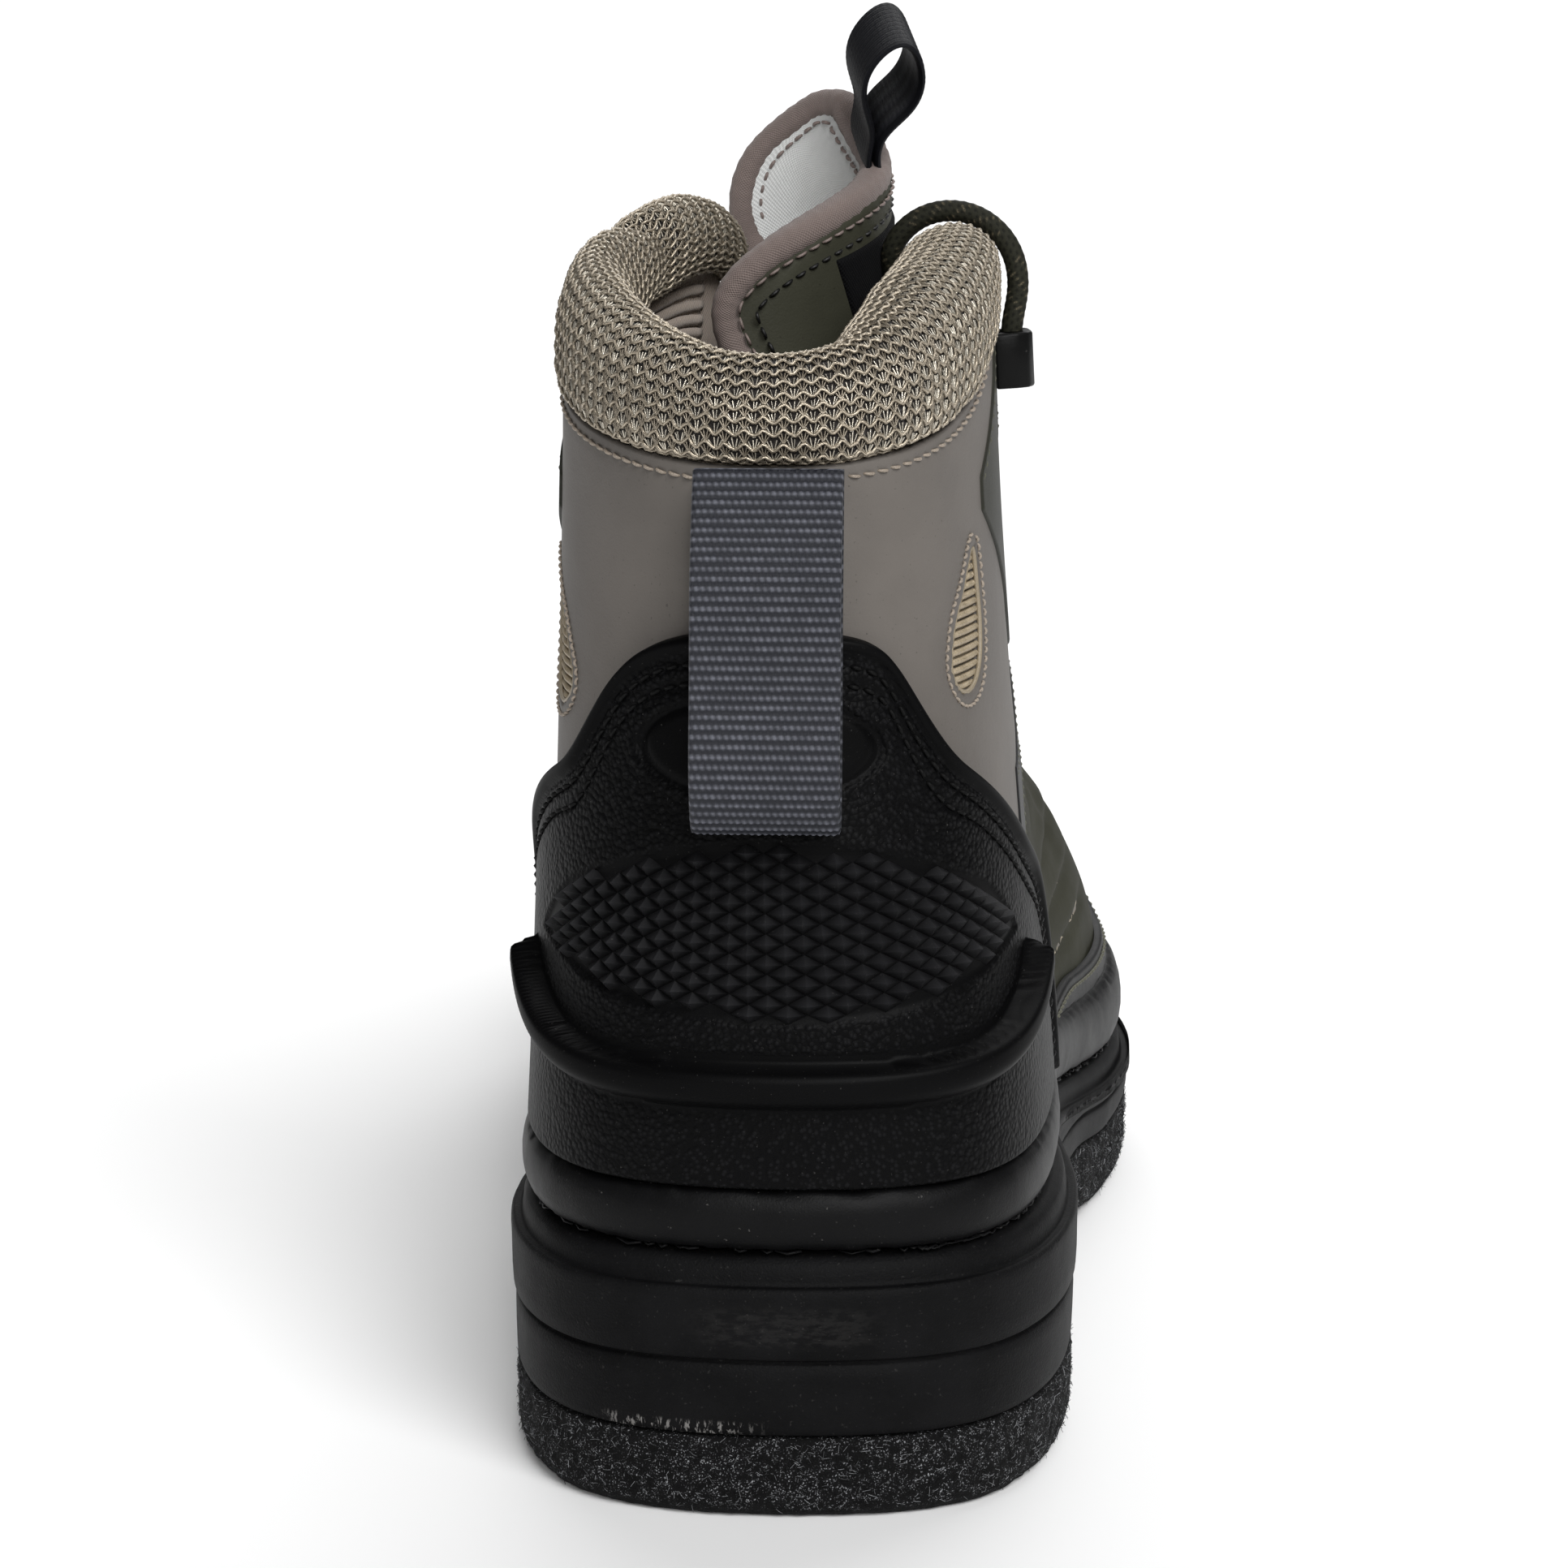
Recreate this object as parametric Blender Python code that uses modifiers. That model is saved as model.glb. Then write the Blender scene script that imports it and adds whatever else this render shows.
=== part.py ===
"""Right wading boot: felt outsole, rubber midsole, lasted upper, padded collar, tongue and lace.

Sizes are millimetres in a heel frame: X to the lateral side, Y from heel to toe, Z up, with the
back of the sole at Y = 0 on the floor. Points turn into metres, centred under the sole, where the
meshes are made.
"""
import math
from collections import namedtuple

import bmesh
import bpy
import numpy as np
from mathutils import Matrix, Vector

MM = 0.001
GAP = 0.3

# Driving sizes of the last and the sole
LENGTH = 318.0
BALL_WIDTH = 118.0
INSTEP_HEIGHT = 92.0
SHAFT_HEIGHT = 184.0
HEEL_HEIGHT = 42.5
BALL_HEIGHT = 26.0
FELT_THICKNESS = 13.2
TOE_SPRING = 9.0
ARCH_RISE = 3.0
UPPER_WALL = 2.6
INSOLE_THICKNESS = 4.0
INSOLE_CLEARANCE = 1.2

# Shares of LENGTH where the toe spring starts, where the arch leaves and meets the floor, and where
# the drop from heel to ball starts and how long it takes
TOE_SPRING_FROM = 0.73
TOE_SPRING_POWER = 1.7
ARCH_FROM = 0.28
ARCH_TO = 0.55
ARCH_EASE = 0.09
DROP_FROM = 0.20
DROP_RUN = 0.42

# Number of columns round the boot and of rows up the upper
COLUMNS = 60
UPPER_ROWS = 12

# One row for each station round the boot, from the back of the heel along the lateral side.
# along and side place the sole's edge, as shares of LENGTH and of half BALL_WIDTH. inset is the
# way in from there to the upper. top_along, top_side and top_climb place the top line or throat
# edge, with climb 0 at the instep point and 1 at the front of the shaft. rise and flare lead the
# section up and out from the sole, run and slope lead it down and out from its top.
Station = namedtuple("Station", "name along side inset top_along top_side top_climb "
                                "rise flare run slope")
STATIONS = (
    Station("heel_back", 0.000, 0.025, 5.3, 0.040, -0.02, 0.77, 40, 6.0, 45, 93),
    Station("heel_corner_lateral", 0.027, 0.560, 5.6, 0.066, 0.33, 0.79, 40, 4.0, 45, 91),
    Station("heel_lateral", 0.125, 0.800, 7.0, 0.148, 0.515, 0.87, 38, -1.0, 45, 88),
    Station("waist_lateral", 0.310, 0.780, 4.5, 0.262, 0.51, 1.00, 42, 1.0, 60, 84),
    Station("instep_lateral", 0.475, 0.880, 5.0, 0.372, 0.36, 0.51, 38, 1.0, 30, 52),
    Station("ball_lateral", 0.630, 1.050, 5.5, 0.516, 0.30, 0.17, 36, 1.0, 24, 26),
    Station("toe_lateral", 0.835, 0.850, 5.5, 0.650, 0.23, 0.03, 34, 1.5, 26, 14),
    Station("toe_corner_lateral", 0.958, 0.440, 5.5, 0.685, 0.09, 0.00, 33, 2.0, 42, 11),
    Station("toe_tip", 1.000, -0.130, 5.5, 0.690, -0.04, 0.00, 32, 2.0, 48, 9),
    Station("toe_corner_medial", 0.958, -0.640, 5.5, 0.685, -0.17, 0.00, 33, 2.0, 42, 11),
    Station("toe_medial", 0.850, -0.915, 5.5, 0.650, -0.30, 0.03, 34, 1.5, 26, 14),
    Station("ball_medial", 0.705, -0.950, 5.5, 0.516, -0.37, 0.17, 36, 1.0, 24, 26),
    Station("instep_medial", 0.525, -0.790, 5.0, 0.372, -0.395, 0.51, 40, 1.0, 30, 52),
    Station("waist_medial", 0.345, -0.650, 4.0, 0.310, -0.265, 1.00, 44, 1.5, 60, 84),
    Station("heel_medial", 0.130, -0.755, 5.3, 0.156, -0.60, 0.87, 40, -2.5, 45, 88),
    Station("heel_corner_medial", 0.027, -0.520, 5.6, 0.066, -0.37, 0.79, 40, 3.0, 45, 91),
)
WAIST_LATERAL = 3
TOE_TIP = 8
WAIST_MEDIAL = 13

# Side of the felt and of the midsole, bottom to top: share of the height, inset and rise above that
# share
Tier = namedtuple("Tier", "share inset lift")
FELT_SIDE = (
    Tier(0.0, 3.2, 0.0),
    Tier(0.0, 1.4, 0.9),
    Tier(0.0, 1.0, 3.0),
    Tier(1.0, 0.9, 0.0),
)
MIDSOLE_SIDE = (
    Tier(0.0, 2.0, 0.0),
    Tier(0.0, 1.0, 1.2),
    Tier(0.42, 0.7, 0.0),
    Tier(0.42, 1.9, 0.6),
    Tier(0.42, 0.2, 1.2),
    Tier(1.0, 0.0, -4.6),
    Tier(1.0, 0.9, -2.2),
    Tier(1.0, 3.0, -0.5),
    Tier(1.0, 4.2, 0.0),
)

# Rand: height of the band round the boot, by distance from the heel as a share of LENGTH
RAND_HEIGHT = ((0.0, 9.6), (0.30, 10.5), (0.62, 13.5), (0.85, 17.0), (1.0, 24.0))
RAND_THICKNESS = 3.0
RAND_CLEARANCE = 0.4
# Section of the band: share of its height and of its thickness
RAND_SECTION = ((0.0, 0.0), (0.33, 0.0), (0.67, 0.0), (1.0, 0.0), (0.97, 0.45), (0.75, 0.95),
                (0.5, 1.0), (0.25, 0.95), (0.06, 0.7))

# Heel counter: height of its top edge by distance round from the back of the heel, below zero on the
# medial side
COUNTER_TOP = ((-100, 54.0), (-92, 72.0), (-82, 89.0), (-74, 98.5), (-66, 105.0), (-58, 110.0), (-50, 114.0),
               (-44, 117.2), (-40, 121.5), (-34, 129.0), (-28, 133.9), (-20, 136.8), (0, 137.6),
               (19, 136.8), (25, 133.6), (30, 126.4), (35, 119.6), (42, 114.5), (50, 109.7), (58, 104.5),
               (66, 99.5), (74, 95.0), (82, 87.5), (92, 71.5), (100, 54.0))
COUNTER_REACH = 99.0
COUNTER_COLUMNS = 33
COUNTER_THICKNESS = 2.4
COUNTER_LEAST = 3.0
LEDGE_BACK = 70.0
LEDGE_CLIMB = 12.5
LEDGE_BEND = 4
LEDGE_REACH = 58.0
LEDGE_HALF_HEIGHT = 3.4
LEDGE_MOST = 0.2
LEDGE_SPREAD = 1.5
LEDGE_PROUD = 4.4
# Rows up the counter: share of the way below the ledge, across it or above it, how much of the ledge
# stands proud there, and how much of the wall
Row = namedtuple("Row", "place share proud wall")
COUNTER_ROWS = (
    Row("below", 0.0, 0.0, 0.5),
    Row("below", 0.5, 0.0, 1.0),
    Row("below", 1.0, 0.0, 1.0),
    Row("ledge", -0.9, 0.8, 1.0),
    Row("ledge", 0.0, 1.0, 1.0),
    Row("ledge", 0.9, 0.7, 1.0),
    Row("above", 0.0, 0.1, 1.0),
    Row("above", 0.25, 0.0, 1.0),
    Row("above", 0.5, 0.0, 1.0),
    Row("above", 0.75, 0.0, 1.0),
    Row("above", 1.0, 0.0, 0.5),
)

# Collar roll, by distance along the top line from the back of the heel, below zero on the medial side
Roll = namedtuple("Roll", "reach height thickness")
COLLAR_ROLL = (
    Roll(-114.0, 9.5, 7.5),
    Roll(-95.0, 12.5, 8.8),
    Roll(-75.0, 15.5, 10.0),
    Roll(-50.0, 19.0, 12.0),
    Roll(-25.0, 17.3, 14.0),
    Roll(0.0, 15.2, 15.0),
    Roll(25.0, 17.3, 17.5),
    Roll(50.0, 18.6, 19.0),
    Roll(75.0, 11.0, 15.0),
    Roll(92.0, 6.0, 9.5),
)
# Section of the roll, from its seam on the outer face over the crest: shares of thickness and height
COLLAR_SECTION = ((0.0, 0.0), (0.07, 0.28), (0.04, 0.58), (-0.12, 0.86), (-0.40, 1.0), (-0.68, 0.94),
                  (-0.90, 0.74), (-1.0, 0.45), (-0.95, 0.15), (-0.76, -0.06), (-0.52, -0.10), (-0.28, 0.0))

# Tongue, from its seam under the vamp to its free top: middle of the outer face, reach of each wing
# along the arc, radius of the curl, and twist to the medial side in degrees. A reach below zero
# leaves the middle bare, so the edge falls away there to the foot of the pull loop.
Fold = namedtuple("Fold", "x y z lateral medial radius twist")
TONGUE_FOLDS = (
    Fold(-2.0, 236.0, 79.0, 15.0, 15.0, 44.0, 0),
    Fold(-2.0, 208.0, 86.5, 23.0, 23.0, 36.0, 0),
    Fold(-2.0, 165.0, 101.5, 27.0, 27.0, 32.0, 0),
    Fold(-0.5, 124.0, 129.0, 29.0, 20.0, 26.0, 8),
    Fold(6.0, 104.0, 157.0, 36.0, 19.0, 26.0, 46),
    Fold(13.5, 97.0, 178.0, 49.5, 33.0, 27.0, 74),
    Fold(15.0, 95.5, 192.0, 42.0, 38.0, 27.0, 78),
    Fold(15.0, 95.5, 202.0, 16.0, 37.0, 27.0, 78),
    Fold(15.0, 95.5, 209.0, -4.5, 31.0, 27.0, 78),
    Fold(15.0, 95.5, 215.5, -12.0, 20.0, 27.0, 78),
)
TONGUE_THICKNESS = 5.0
TONGUE_ROWS = 21
TONGUE_ACROSS = 13

# Webbing loop at the back of the heel: middle line of the band, side view
STRAP_WIDTH = 22.5
STRAP_THICKNESS = 1.5
STRAP_SIDE = -0.5
STRAP_LINE = ((9.6, 163.0), (6.4, 147.5), (4.5, 129.5), (3.2, 115.5), (-0.6, 110.1), (-4.5, 115.0),
              (-3.9, 129.5), (-1.4, 147.5), (6.6, 163.0))

# Ribbon loop on the tongue's top: middle line of the band across and up from its foot
PULL_FOOT = Vector((11.0, 91.5, 207.8))
PULL_WIDTH = 17.0
PULL_THICKNESS = 1.2
PULL_LINE = ((1.5, -4.0), (-0.3, -0.3), (-0.9, 4.2), (-3.7, 10.0), (-3.9, 16.5), (0.3, 21.0), (4.4, 16.5),
             (4.0, 10.0), (0.9, 4.2), (1.2, -0.3), (3.0, -4.0))
# Pocket in the tongue's top edge that both feet of the ribbon are sewn into
PULL_POCKET = ((0.6, -4.3), (3.9, -4.3), (2.2, -0.5), (1.9, 2.6), (-1.8, 2.6), (-1.3, -0.5))
PULL_ALONG = Vector((-0.19, 0.90, 0.39))
PULL_LEAN = Vector((0.17, 0.0, 0.98))

# Lace, eyelets and hooks
LACE_RADIUS = 1.8
EYELET_RADIUS = 4.2
EYELET_WIRE = 1.2
EYELET_SETBACK = 8.0
EYELET_CLIMBS = (0.03, 0.17, 0.36, 0.52)
HOOK_WIDTH = 9.0
HOOK_HEIGHT = 173.0
HOOK_FROM_HEEL = 76.0
# Plan of a hook: out from the shaft and forward from its middle, with the closed bend to the heel
HOOK_OUTLINE = ((0.0, -5.0), (3.6, -5.0), (5.6, -4.2), (6.6, -2.4), (6.7, 0.5), (6.7, 3.2), (6.2, 4.3),
                (5.8, 4.2), (5.5, 3.0), (5.5, -1.6), (4.8, -2.7), (3.4, -3.2), (0.9, -3.2), (0.8, 5.0),
                (0.0, 5.0))
LACE_RUN = ((19.0, 102.0, 163.0), (19.0, 91.0, 174.5), (16.8, 82.5, 185.0), (16.2, 79.5, 190.6),
            (20.6, 78.5, 195.8), (29.5, 78.0, 196.4), (35.5, 77.2, 191.0), (36.8, 76.8, 184.5),
            (36.0, 76.5, 179.0), (35.9, 76.4, 172.8))
CROSSING_RISE = Vector((0.0, 2.0, 3.5))
LAST_CROSSING_RISE = Vector((0.0, 8.0, 4.0))
LACE_SPACING = 8.0
RUN_SPACING = 4.0


def smooth(value):
    """Ease from 0 to 1 without corners."""
    t = np.clip(value, 0.0, 1.0)
    return t * t * (3.0 - 2.0 * t)


def spline(knots, values, at, period=None):
    """Cubic curve through the values at the knots, closed when a period is given."""
    knots = np.asarray(knots, float)
    values = np.asarray(values, float)
    if period:
        knots = np.append(knots, knots[0] + period)
        values = np.concatenate([values, values[:1]])
    count = len(knots)
    steps = np.diff(knots)
    slopes = np.diff(values, axis=0) / steps.reshape((-1,) + (1,) * (values.ndim - 1))
    system = np.zeros((count, count))
    right = np.zeros(values.shape)
    for i in range(1, count - 1):
        system[i, i - 1] = steps[i]
        system[i, i] = 2 * (steps[i - 1] + steps[i])
        system[i, i + 1] = steps[i - 1]
        right[i] = 3 * (steps[i] * slopes[i - 1] + steps[i - 1] * slopes[i])
    if period:
        system[0, 0] = 2 * (steps[-1] + steps[0])
        system[0, 1] = steps[-1]
        system[0, -2] = steps[0]
        right[0] = 3 * (steps[0] * slopes[-1] + steps[-1] * slopes[0])
        system[-1, -1] = 1
        system[-1, 0] = -1
    else:
        system[0, :2] = (2, 1)
        right[0] = 3 * slopes[0]
        system[-1, -2:] = (1, 2)
        right[-1] = 3 * slopes[-1]
    tangents = np.linalg.solve(system, right.reshape(count, -1)).reshape(values.shape)
    at = np.asarray(at, float)
    if period:
        at = knots[0] + np.mod(at - knots[0], period)
    cell = np.clip(np.searchsorted(knots, at, side="right") - 1, 0, count - 2)
    shape = cell.shape + (1,) * (values.ndim - 1)
    h = steps[cell].reshape(shape)
    t = ((at - knots[cell]) / steps[cell]).reshape(shape)
    start = values[cell] * (1 + 2 * t) * (1 - t) ** 2 + tangents[cell] * h * t * (1 - t) ** 2
    end = values[cell + 1] * t * t * (3 - 2 * t) - tangents[cell + 1] * h * t * t * (1 - t)
    return start + end


def toe_spring(y):
    share = (y / LENGTH - TOE_SPRING_FROM) / (1.0 - TOE_SPRING_FROM)
    return TOE_SPRING * np.clip(share, 0.0, 1.0) ** TOE_SPRING_POWER


def sole_bottom(y):
    share = y / LENGTH
    arch = smooth((share - ARCH_FROM) / ARCH_EASE) * smooth((ARCH_TO - share) / ARCH_EASE)
    return ARCH_RISE * arch + toe_spring(y)


def sole_top(y):
    drop = smooth((y / LENGTH - DROP_FROM) / DROP_RUN)
    return HEEL_HEIGHT + (BALL_HEIGHT - HEEL_HEIGHT) * drop + toe_spring(y)


HALF_BALL = BALL_WIDTH / 2
EDGE = np.array([(s.side * HALF_BALL, s.along * LENGTH) for s in STATIONS])
CHORDS = np.linalg.norm(np.roll(EDGE, -1, axis=0) - EDGE, axis=1)
GIRTH = CHORDS.sum()
KNOTS = np.concatenate([[0.0], np.cumsum(CHORDS)[:-1]]) / GIRTH
SHAPES = np.array([s[1:] for s in STATIONS])
AROUND = np.arange(COLUMNS) / COLUMNS


def sole_edge(around, inset):
    """Plan of the sole's edge, moved in by the inset."""
    step = 1e-4
    ahead = spline(KNOTS, EDGE, around + step, 1.0)
    behind = spline(KNOTS, EDGE, around - step, 1.0)
    along = ahead - behind
    outward = np.stack([along[:, 1], -along[:, 0]], axis=1)
    outward /= np.linalg.norm(outward, axis=1, keepdims=True)
    return 0.5 * (ahead + behind) - np.reshape(inset, (-1, 1)) * outward, outward


def upper_points(around, up):
    """Outer face of the upper: around runs round the boot, up from the sole to the top line."""
    shape = dict(zip(Station._fields[1:], spline(KNOTS, SHAPES, around, 1.0).T))
    plan, outward = sole_edge(around, shape["inset"])
    foot = np.column_stack([plan, sole_top(plan[:, 1]) + GAP])
    climb = INSTEP_HEIGHT + shape["top_climb"] * (SHAFT_HEIGHT - INSTEP_HEIGHT)
    top = np.column_stack([shape["top_side"] * HALF_BALL, shape["top_along"] * LENGTH, climb])
    lead_out = np.column_stack([outward * shape["flare"][:, None], shape["rise"]])
    level = plan - top[:, :2]
    level /= np.linalg.norm(level, axis=1, keepdims=True)
    slope = np.radians(shape["slope"])
    lead_in = np.column_stack([level * np.cos(slope)[:, None], -np.sin(slope)]) * shape["run"][:, None]
    t = np.broadcast_to(up, (len(around), np.shape(up)[-1]))[..., None]
    corners = [foot, foot + lead_out, top + lead_in, top]
    weights = [(1 - t) ** 3, 3 * t * (1 - t) ** 2, 3 * t * t * (1 - t), t ** 3]
    return sum(w * c[:, None, :] for w, c in zip(weights, corners))


def upper_skin(around, up, lift=0.0):
    """Points on the upper's outer face, moved out along its normal by the lift."""
    step = 1e-3
    across = upper_points(around + step, up) - upper_points(around - step, up)
    rising = upper_points(around, np.add(up, step)) - upper_points(around, np.subtract(up, step))
    normal = np.cross(across, rising)
    normal /= np.linalg.norm(normal, axis=-1, keepdims=True)
    return upper_points(around, up) + np.asarray(lift)[..., None] * normal, normal


def up_at_height(around, height):
    """How far up the upper each column reaches the given height."""
    ladder = np.linspace(0.0, 1.0, 120)
    heights = upper_points(around, ladder)[..., 2]
    reached = [np.interp(h, column, ladder) for h, column in zip(height, heights)]
    return np.array(reached)


def table(rows, at):
    """Read a short two-column table smoothly."""
    knots, values = zip(*rows)
    return spline(knots, values, np.clip(at, knots[0], knots[-1]))


def to_model(points):
    """Heel frame in millimetres to the part's own frame in metres."""
    return (np.reshape(points, (-1, 3)) - np.array(ORIGIN)) * MM


def finish(name, colour, roughness, metallic=0.0):
    material = bpy.data.materials.new(name)
    material.use_nodes = True
    shader = material.node_tree.nodes["Principled BSDF"]
    shader.inputs["Base Color"].default_value = (*colour, 1.0)
    shader.inputs["Roughness"].default_value = roughness
    shader.inputs["Metallic"].default_value = metallic
    return material


def place(name, data, material):
    """Put a mesh or curve into the boot's collection under its own name."""
    piece = bpy.data.objects.new(name, data)
    data.materials.append(material)
    bpy.data.collections["wading_boot"].objects.link(piece)
    return piece


def move_to(piece, collection):
    for home in list(piece.users_collection):
        home.objects.unlink(piece)
    bpy.data.collections[collection].objects.link(piece)


def mesh_piece(name, points, faces, material):
    mesh = bpy.data.meshes.new(name)
    mesh.from_pydata([tuple(p) for p in to_model(points)], [], faces)
    work = bmesh.new()
    work.from_mesh(mesh)
    bmesh.ops.recalc_face_normals(work, faces=work.faces)
    work.to_mesh(mesh)
    work.free()
    mesh.shade_smooth()
    mesh.set_sharp_from_angle(angle=math.radians(40))
    return place(name, mesh, material)


def loft(name, sections, material, closed=False):
    """Skin over like closed sections, capped at both ends unless the run closes on itself."""
    runs, around = sections.shape[:2]
    faces = []
    for i in range(runs if closed else runs - 1):
        near = i * around
        far = (i + 1) % runs * around
        for j in range(around):
            k = (j + 1) % around
            faces.append((near + j, near + k, far + k, far + j))
    if not closed:
        for base in (0, (runs - 1) * around):
            for j in range(around // 2 - 1):
                faces.append((base + j, base + j + 1, base + around - 2 - j, base + around - 1 - j))
    return mesh_piece(name, sections, faces, material)


def shell(name, grid, thickness, material, closed=False):
    """Open sheet of quads given its real wall on the inner side."""
    rows, across = grid.shape[:2]
    faces = []
    for i in range(rows if closed else rows - 1):
        near = i * across
        far = (i + 1) % rows * across
        for j in range(across - 1):
            faces.append((near + j, far + j, far + j + 1, near + j + 1))
    mesh = bpy.data.meshes.new(name)
    mesh.from_pydata([tuple(p) for p in to_model(grid)], [], faces)
    mesh.shade_smooth()
    piece = place(name, mesh, material)
    wall = piece.modifiers.new("Wall", "SOLIDIFY")
    wall.thickness = thickness * MM
    wall.offset = -1.0
    wall.use_even_offset = True
    return piece


def stacked_rings(name, rings, material):
    """Solid of level rings, one above the other, closed at the bottom and the top."""
    return loft(name, np.array(rings), material)


def make_felt_outsole(material):
    rings = []
    for tier in FELT_SIDE:
        plan, _ = sole_edge(AROUND, np.full(COLUMNS, tier.inset))
        lift = tier.share * FELT_THICKNESS + tier.lift
        rings.append(np.column_stack([plan, sole_bottom(plan[:, 1]) + lift]))
    stacked_rings("felt_outsole", rings, material)


def make_midsole(material):
    rings = []
    for tier in MIDSOLE_SIDE:
        plan, _ = sole_edge(AROUND, np.full(COLUMNS, tier.inset))
        low = sole_bottom(plan[:, 1]) + FELT_THICKNESS + GAP
        high = sole_top(plan[:, 1])
        rings.append(np.column_stack([plan, low + tier.share * (high - low) + tier.lift]))
    stacked_rings("midsole", rings, material)


def make_insole(material):
    rings = []
    inset = spline(KNOTS, [s.inset for s in STATIONS], AROUND, 1.0) + UPPER_WALL + INSOLE_CLEARANCE
    for lift in (GAP, GAP + INSOLE_THICKNESS):
        plan, _ = sole_edge(AROUND, inset)
        rings.append(np.column_stack([plan, sole_top(plan[:, 1]) + lift]))
    stacked_rings("insole", rings, material)


def make_upper(material):
    rows = np.linspace(0.0, 1.0, UPPER_ROWS)
    shell("upper", upper_points(AROUND, rows), UPPER_WALL, material, closed=True)


def make_rand(material):
    """Rounded band that follows the upper's own face just above the midsole."""
    foot = upper_points(AROUND, np.array([0.0]))[:, 0]
    height = table(RAND_HEIGHT, foot[:, 1] / LENGTH)
    loop = []
    for share, bulge in RAND_SECTION:
        up = up_at_height(AROUND, foot[:, 2] + RAND_CLEARANCE + share * height)
        lift = np.full((COLUMNS, 1), 2 * GAP + bulge * RAND_THICKNESS)
        ring, _ = upper_skin(AROUND, up[:, None], lift)
        loop.append(ring[:, 0])
    loft("rand", np.stack(loop, axis=1), material, closed=True)


def make_heel_counter(material):
    """Moulded heel piece between two offsets of the upper, with the kick ledge standing proud."""
    reach = np.linspace(-COUNTER_REACH, COUNTER_REACH, COUNTER_COLUMNS)
    around = np.mod(reach / GIRTH, 1.0)
    foot = upper_points(around, np.array([0.0]))[:, 0]
    low = foot[:, 2] + table(RAND_HEIGHT, foot[:, 1] / LENGTH) + RAND_CLEARANCE + GAP
    high = np.maximum(table(COUNTER_TOP, reach), low + COUNTER_LEAST)
    ledge = LEDGE_BACK + LEDGE_CLIMB * (np.abs(reach) / LEDGE_REACH) ** LEDGE_BEND
    ledge = np.minimum(ledge, 0.5 * (low + high))
    half = np.minimum(LEDGE_HALF_HEIGHT, LEDGE_MOST * (high - low))
    spans = {
        "below": (low, ledge - LEDGE_SPREAD * half),
        "ledge": (ledge, ledge + half),
        "above": (ledge + LEDGE_SPREAD * half, high),
    }
    has_ledge = np.abs(reach) <= LEDGE_REACH
    inner = []
    outer = []
    for row in COUNTER_ROWS:
        start, end = spans[row.place]
        up = up_at_height(around, start + row.share * (end - start))[:, None]
        lift = 2 * GAP + COUNTER_THICKNESS * row.wall + LEDGE_PROUD * row.proud * has_ledge
        inner.append(upper_skin(around, up, np.full(up.shape, 2 * GAP))[0][:, 0])
        outer.append(upper_skin(around, up, lift[:, None])[0][:, 0])
    loft("heel_counter", np.stack(inner + outer[::-1], axis=1), material)


def make_collar(material):
    """Padded roll on the top line, from one front corner round the heel to the other."""
    reaches, heights, thicknesses = zip(*COLLAR_ROLL)
    top = upper_points(np.linspace(0.0, 1.0, 721)[:-1], np.array([1.0]))[:, 0]
    walk = np.linalg.norm(np.diff(top, axis=0), axis=1)
    lateral = np.concatenate([[0.0], np.cumsum(walk)])
    medial = np.concatenate([[0.0], np.cumsum(walk[::-1])])
    share = np.arange(len(top)) / len(top)
    reach = np.linspace(reaches[0], reaches[-1], 33)
    around = np.where(reach >= 0, np.interp(reach, lateral, share), -np.interp(-reach, medial, share))
    around = np.mod(around, 1.0)
    foot, normal = upper_skin(around, np.array([1.0]))
    foot = foot[:, 0]
    outward = normal[:, 0] * (1.0, 1.0, 0.0)
    outward /= np.linalg.norm(outward, axis=1, keepdims=True)
    height = spline(reaches, heights, reach)[:, None]
    thick = spline(reaches, thicknesses, reach)[:, None]
    seam = foot + np.array((0.0, 0.0, 2 * GAP))
    loop = []
    for out, up in COLLAR_SECTION:
        loop.append(seam + outward * thick * out + height * up * np.array((0.0, 0.0, 1.0)))
    loft("collar", np.stack(loop, axis=1), material)


def make_tongue(material):
    folds = np.array(TONGUE_FOLDS)
    knots = np.concatenate([[0.0], np.cumsum(np.linalg.norm(np.diff(folds[:, :3], axis=0), axis=1))])
    at = np.linspace(0.0, knots[-1], TONGUE_ROWS)
    x, y, z, lateral, medial, radius, twist = spline(knots, folds, at).T
    middle = np.column_stack([x, y, z])
    along = np.gradient(middle, axis=0)
    along /= np.linalg.norm(along, axis=1, keepdims=True)
    front = np.cross(along, (1.0, 0.0, 0.0))
    front /= np.linalg.norm(front, axis=1, keepdims=True)
    side = np.cross(front, along)
    turn = np.radians(twist)[:, None]
    side, front = side * np.cos(turn) - front * np.sin(turn), front * np.cos(turn) + side * np.sin(turn)
    grid = []
    for share in np.linspace(0.0, 1.0, TONGUE_ACROSS):
        angle = ((share * lateral - (1 - share) * medial) / radius)[:, None]
        grid.append(middle + radius[:, None] * (side * np.sin(angle) - front * (1 - np.cos(angle))))
    shell("tongue", np.stack(grid, axis=1), TONGUE_THICKNESS, material)


def band_outline(line, thickness, per_span=3):
    """Closed outline of a thin band along a smooth middle line."""
    line = np.array(line, float)
    knots = np.concatenate([[0.0], np.cumsum(np.linalg.norm(np.diff(line, axis=0), axis=1))])
    at = np.linspace(0.0, knots[-1], per_span * (len(line) - 1) + 1)
    middle = spline(knots, line, at)
    along = np.gradient(middle, axis=0)
    along /= np.linalg.norm(along, axis=1, keepdims=True)
    side = np.column_stack([-along[:, 1], along[:, 0]]) * thickness / 2
    return np.concatenate([middle + side, (middle - side)[::-1]])


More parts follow.
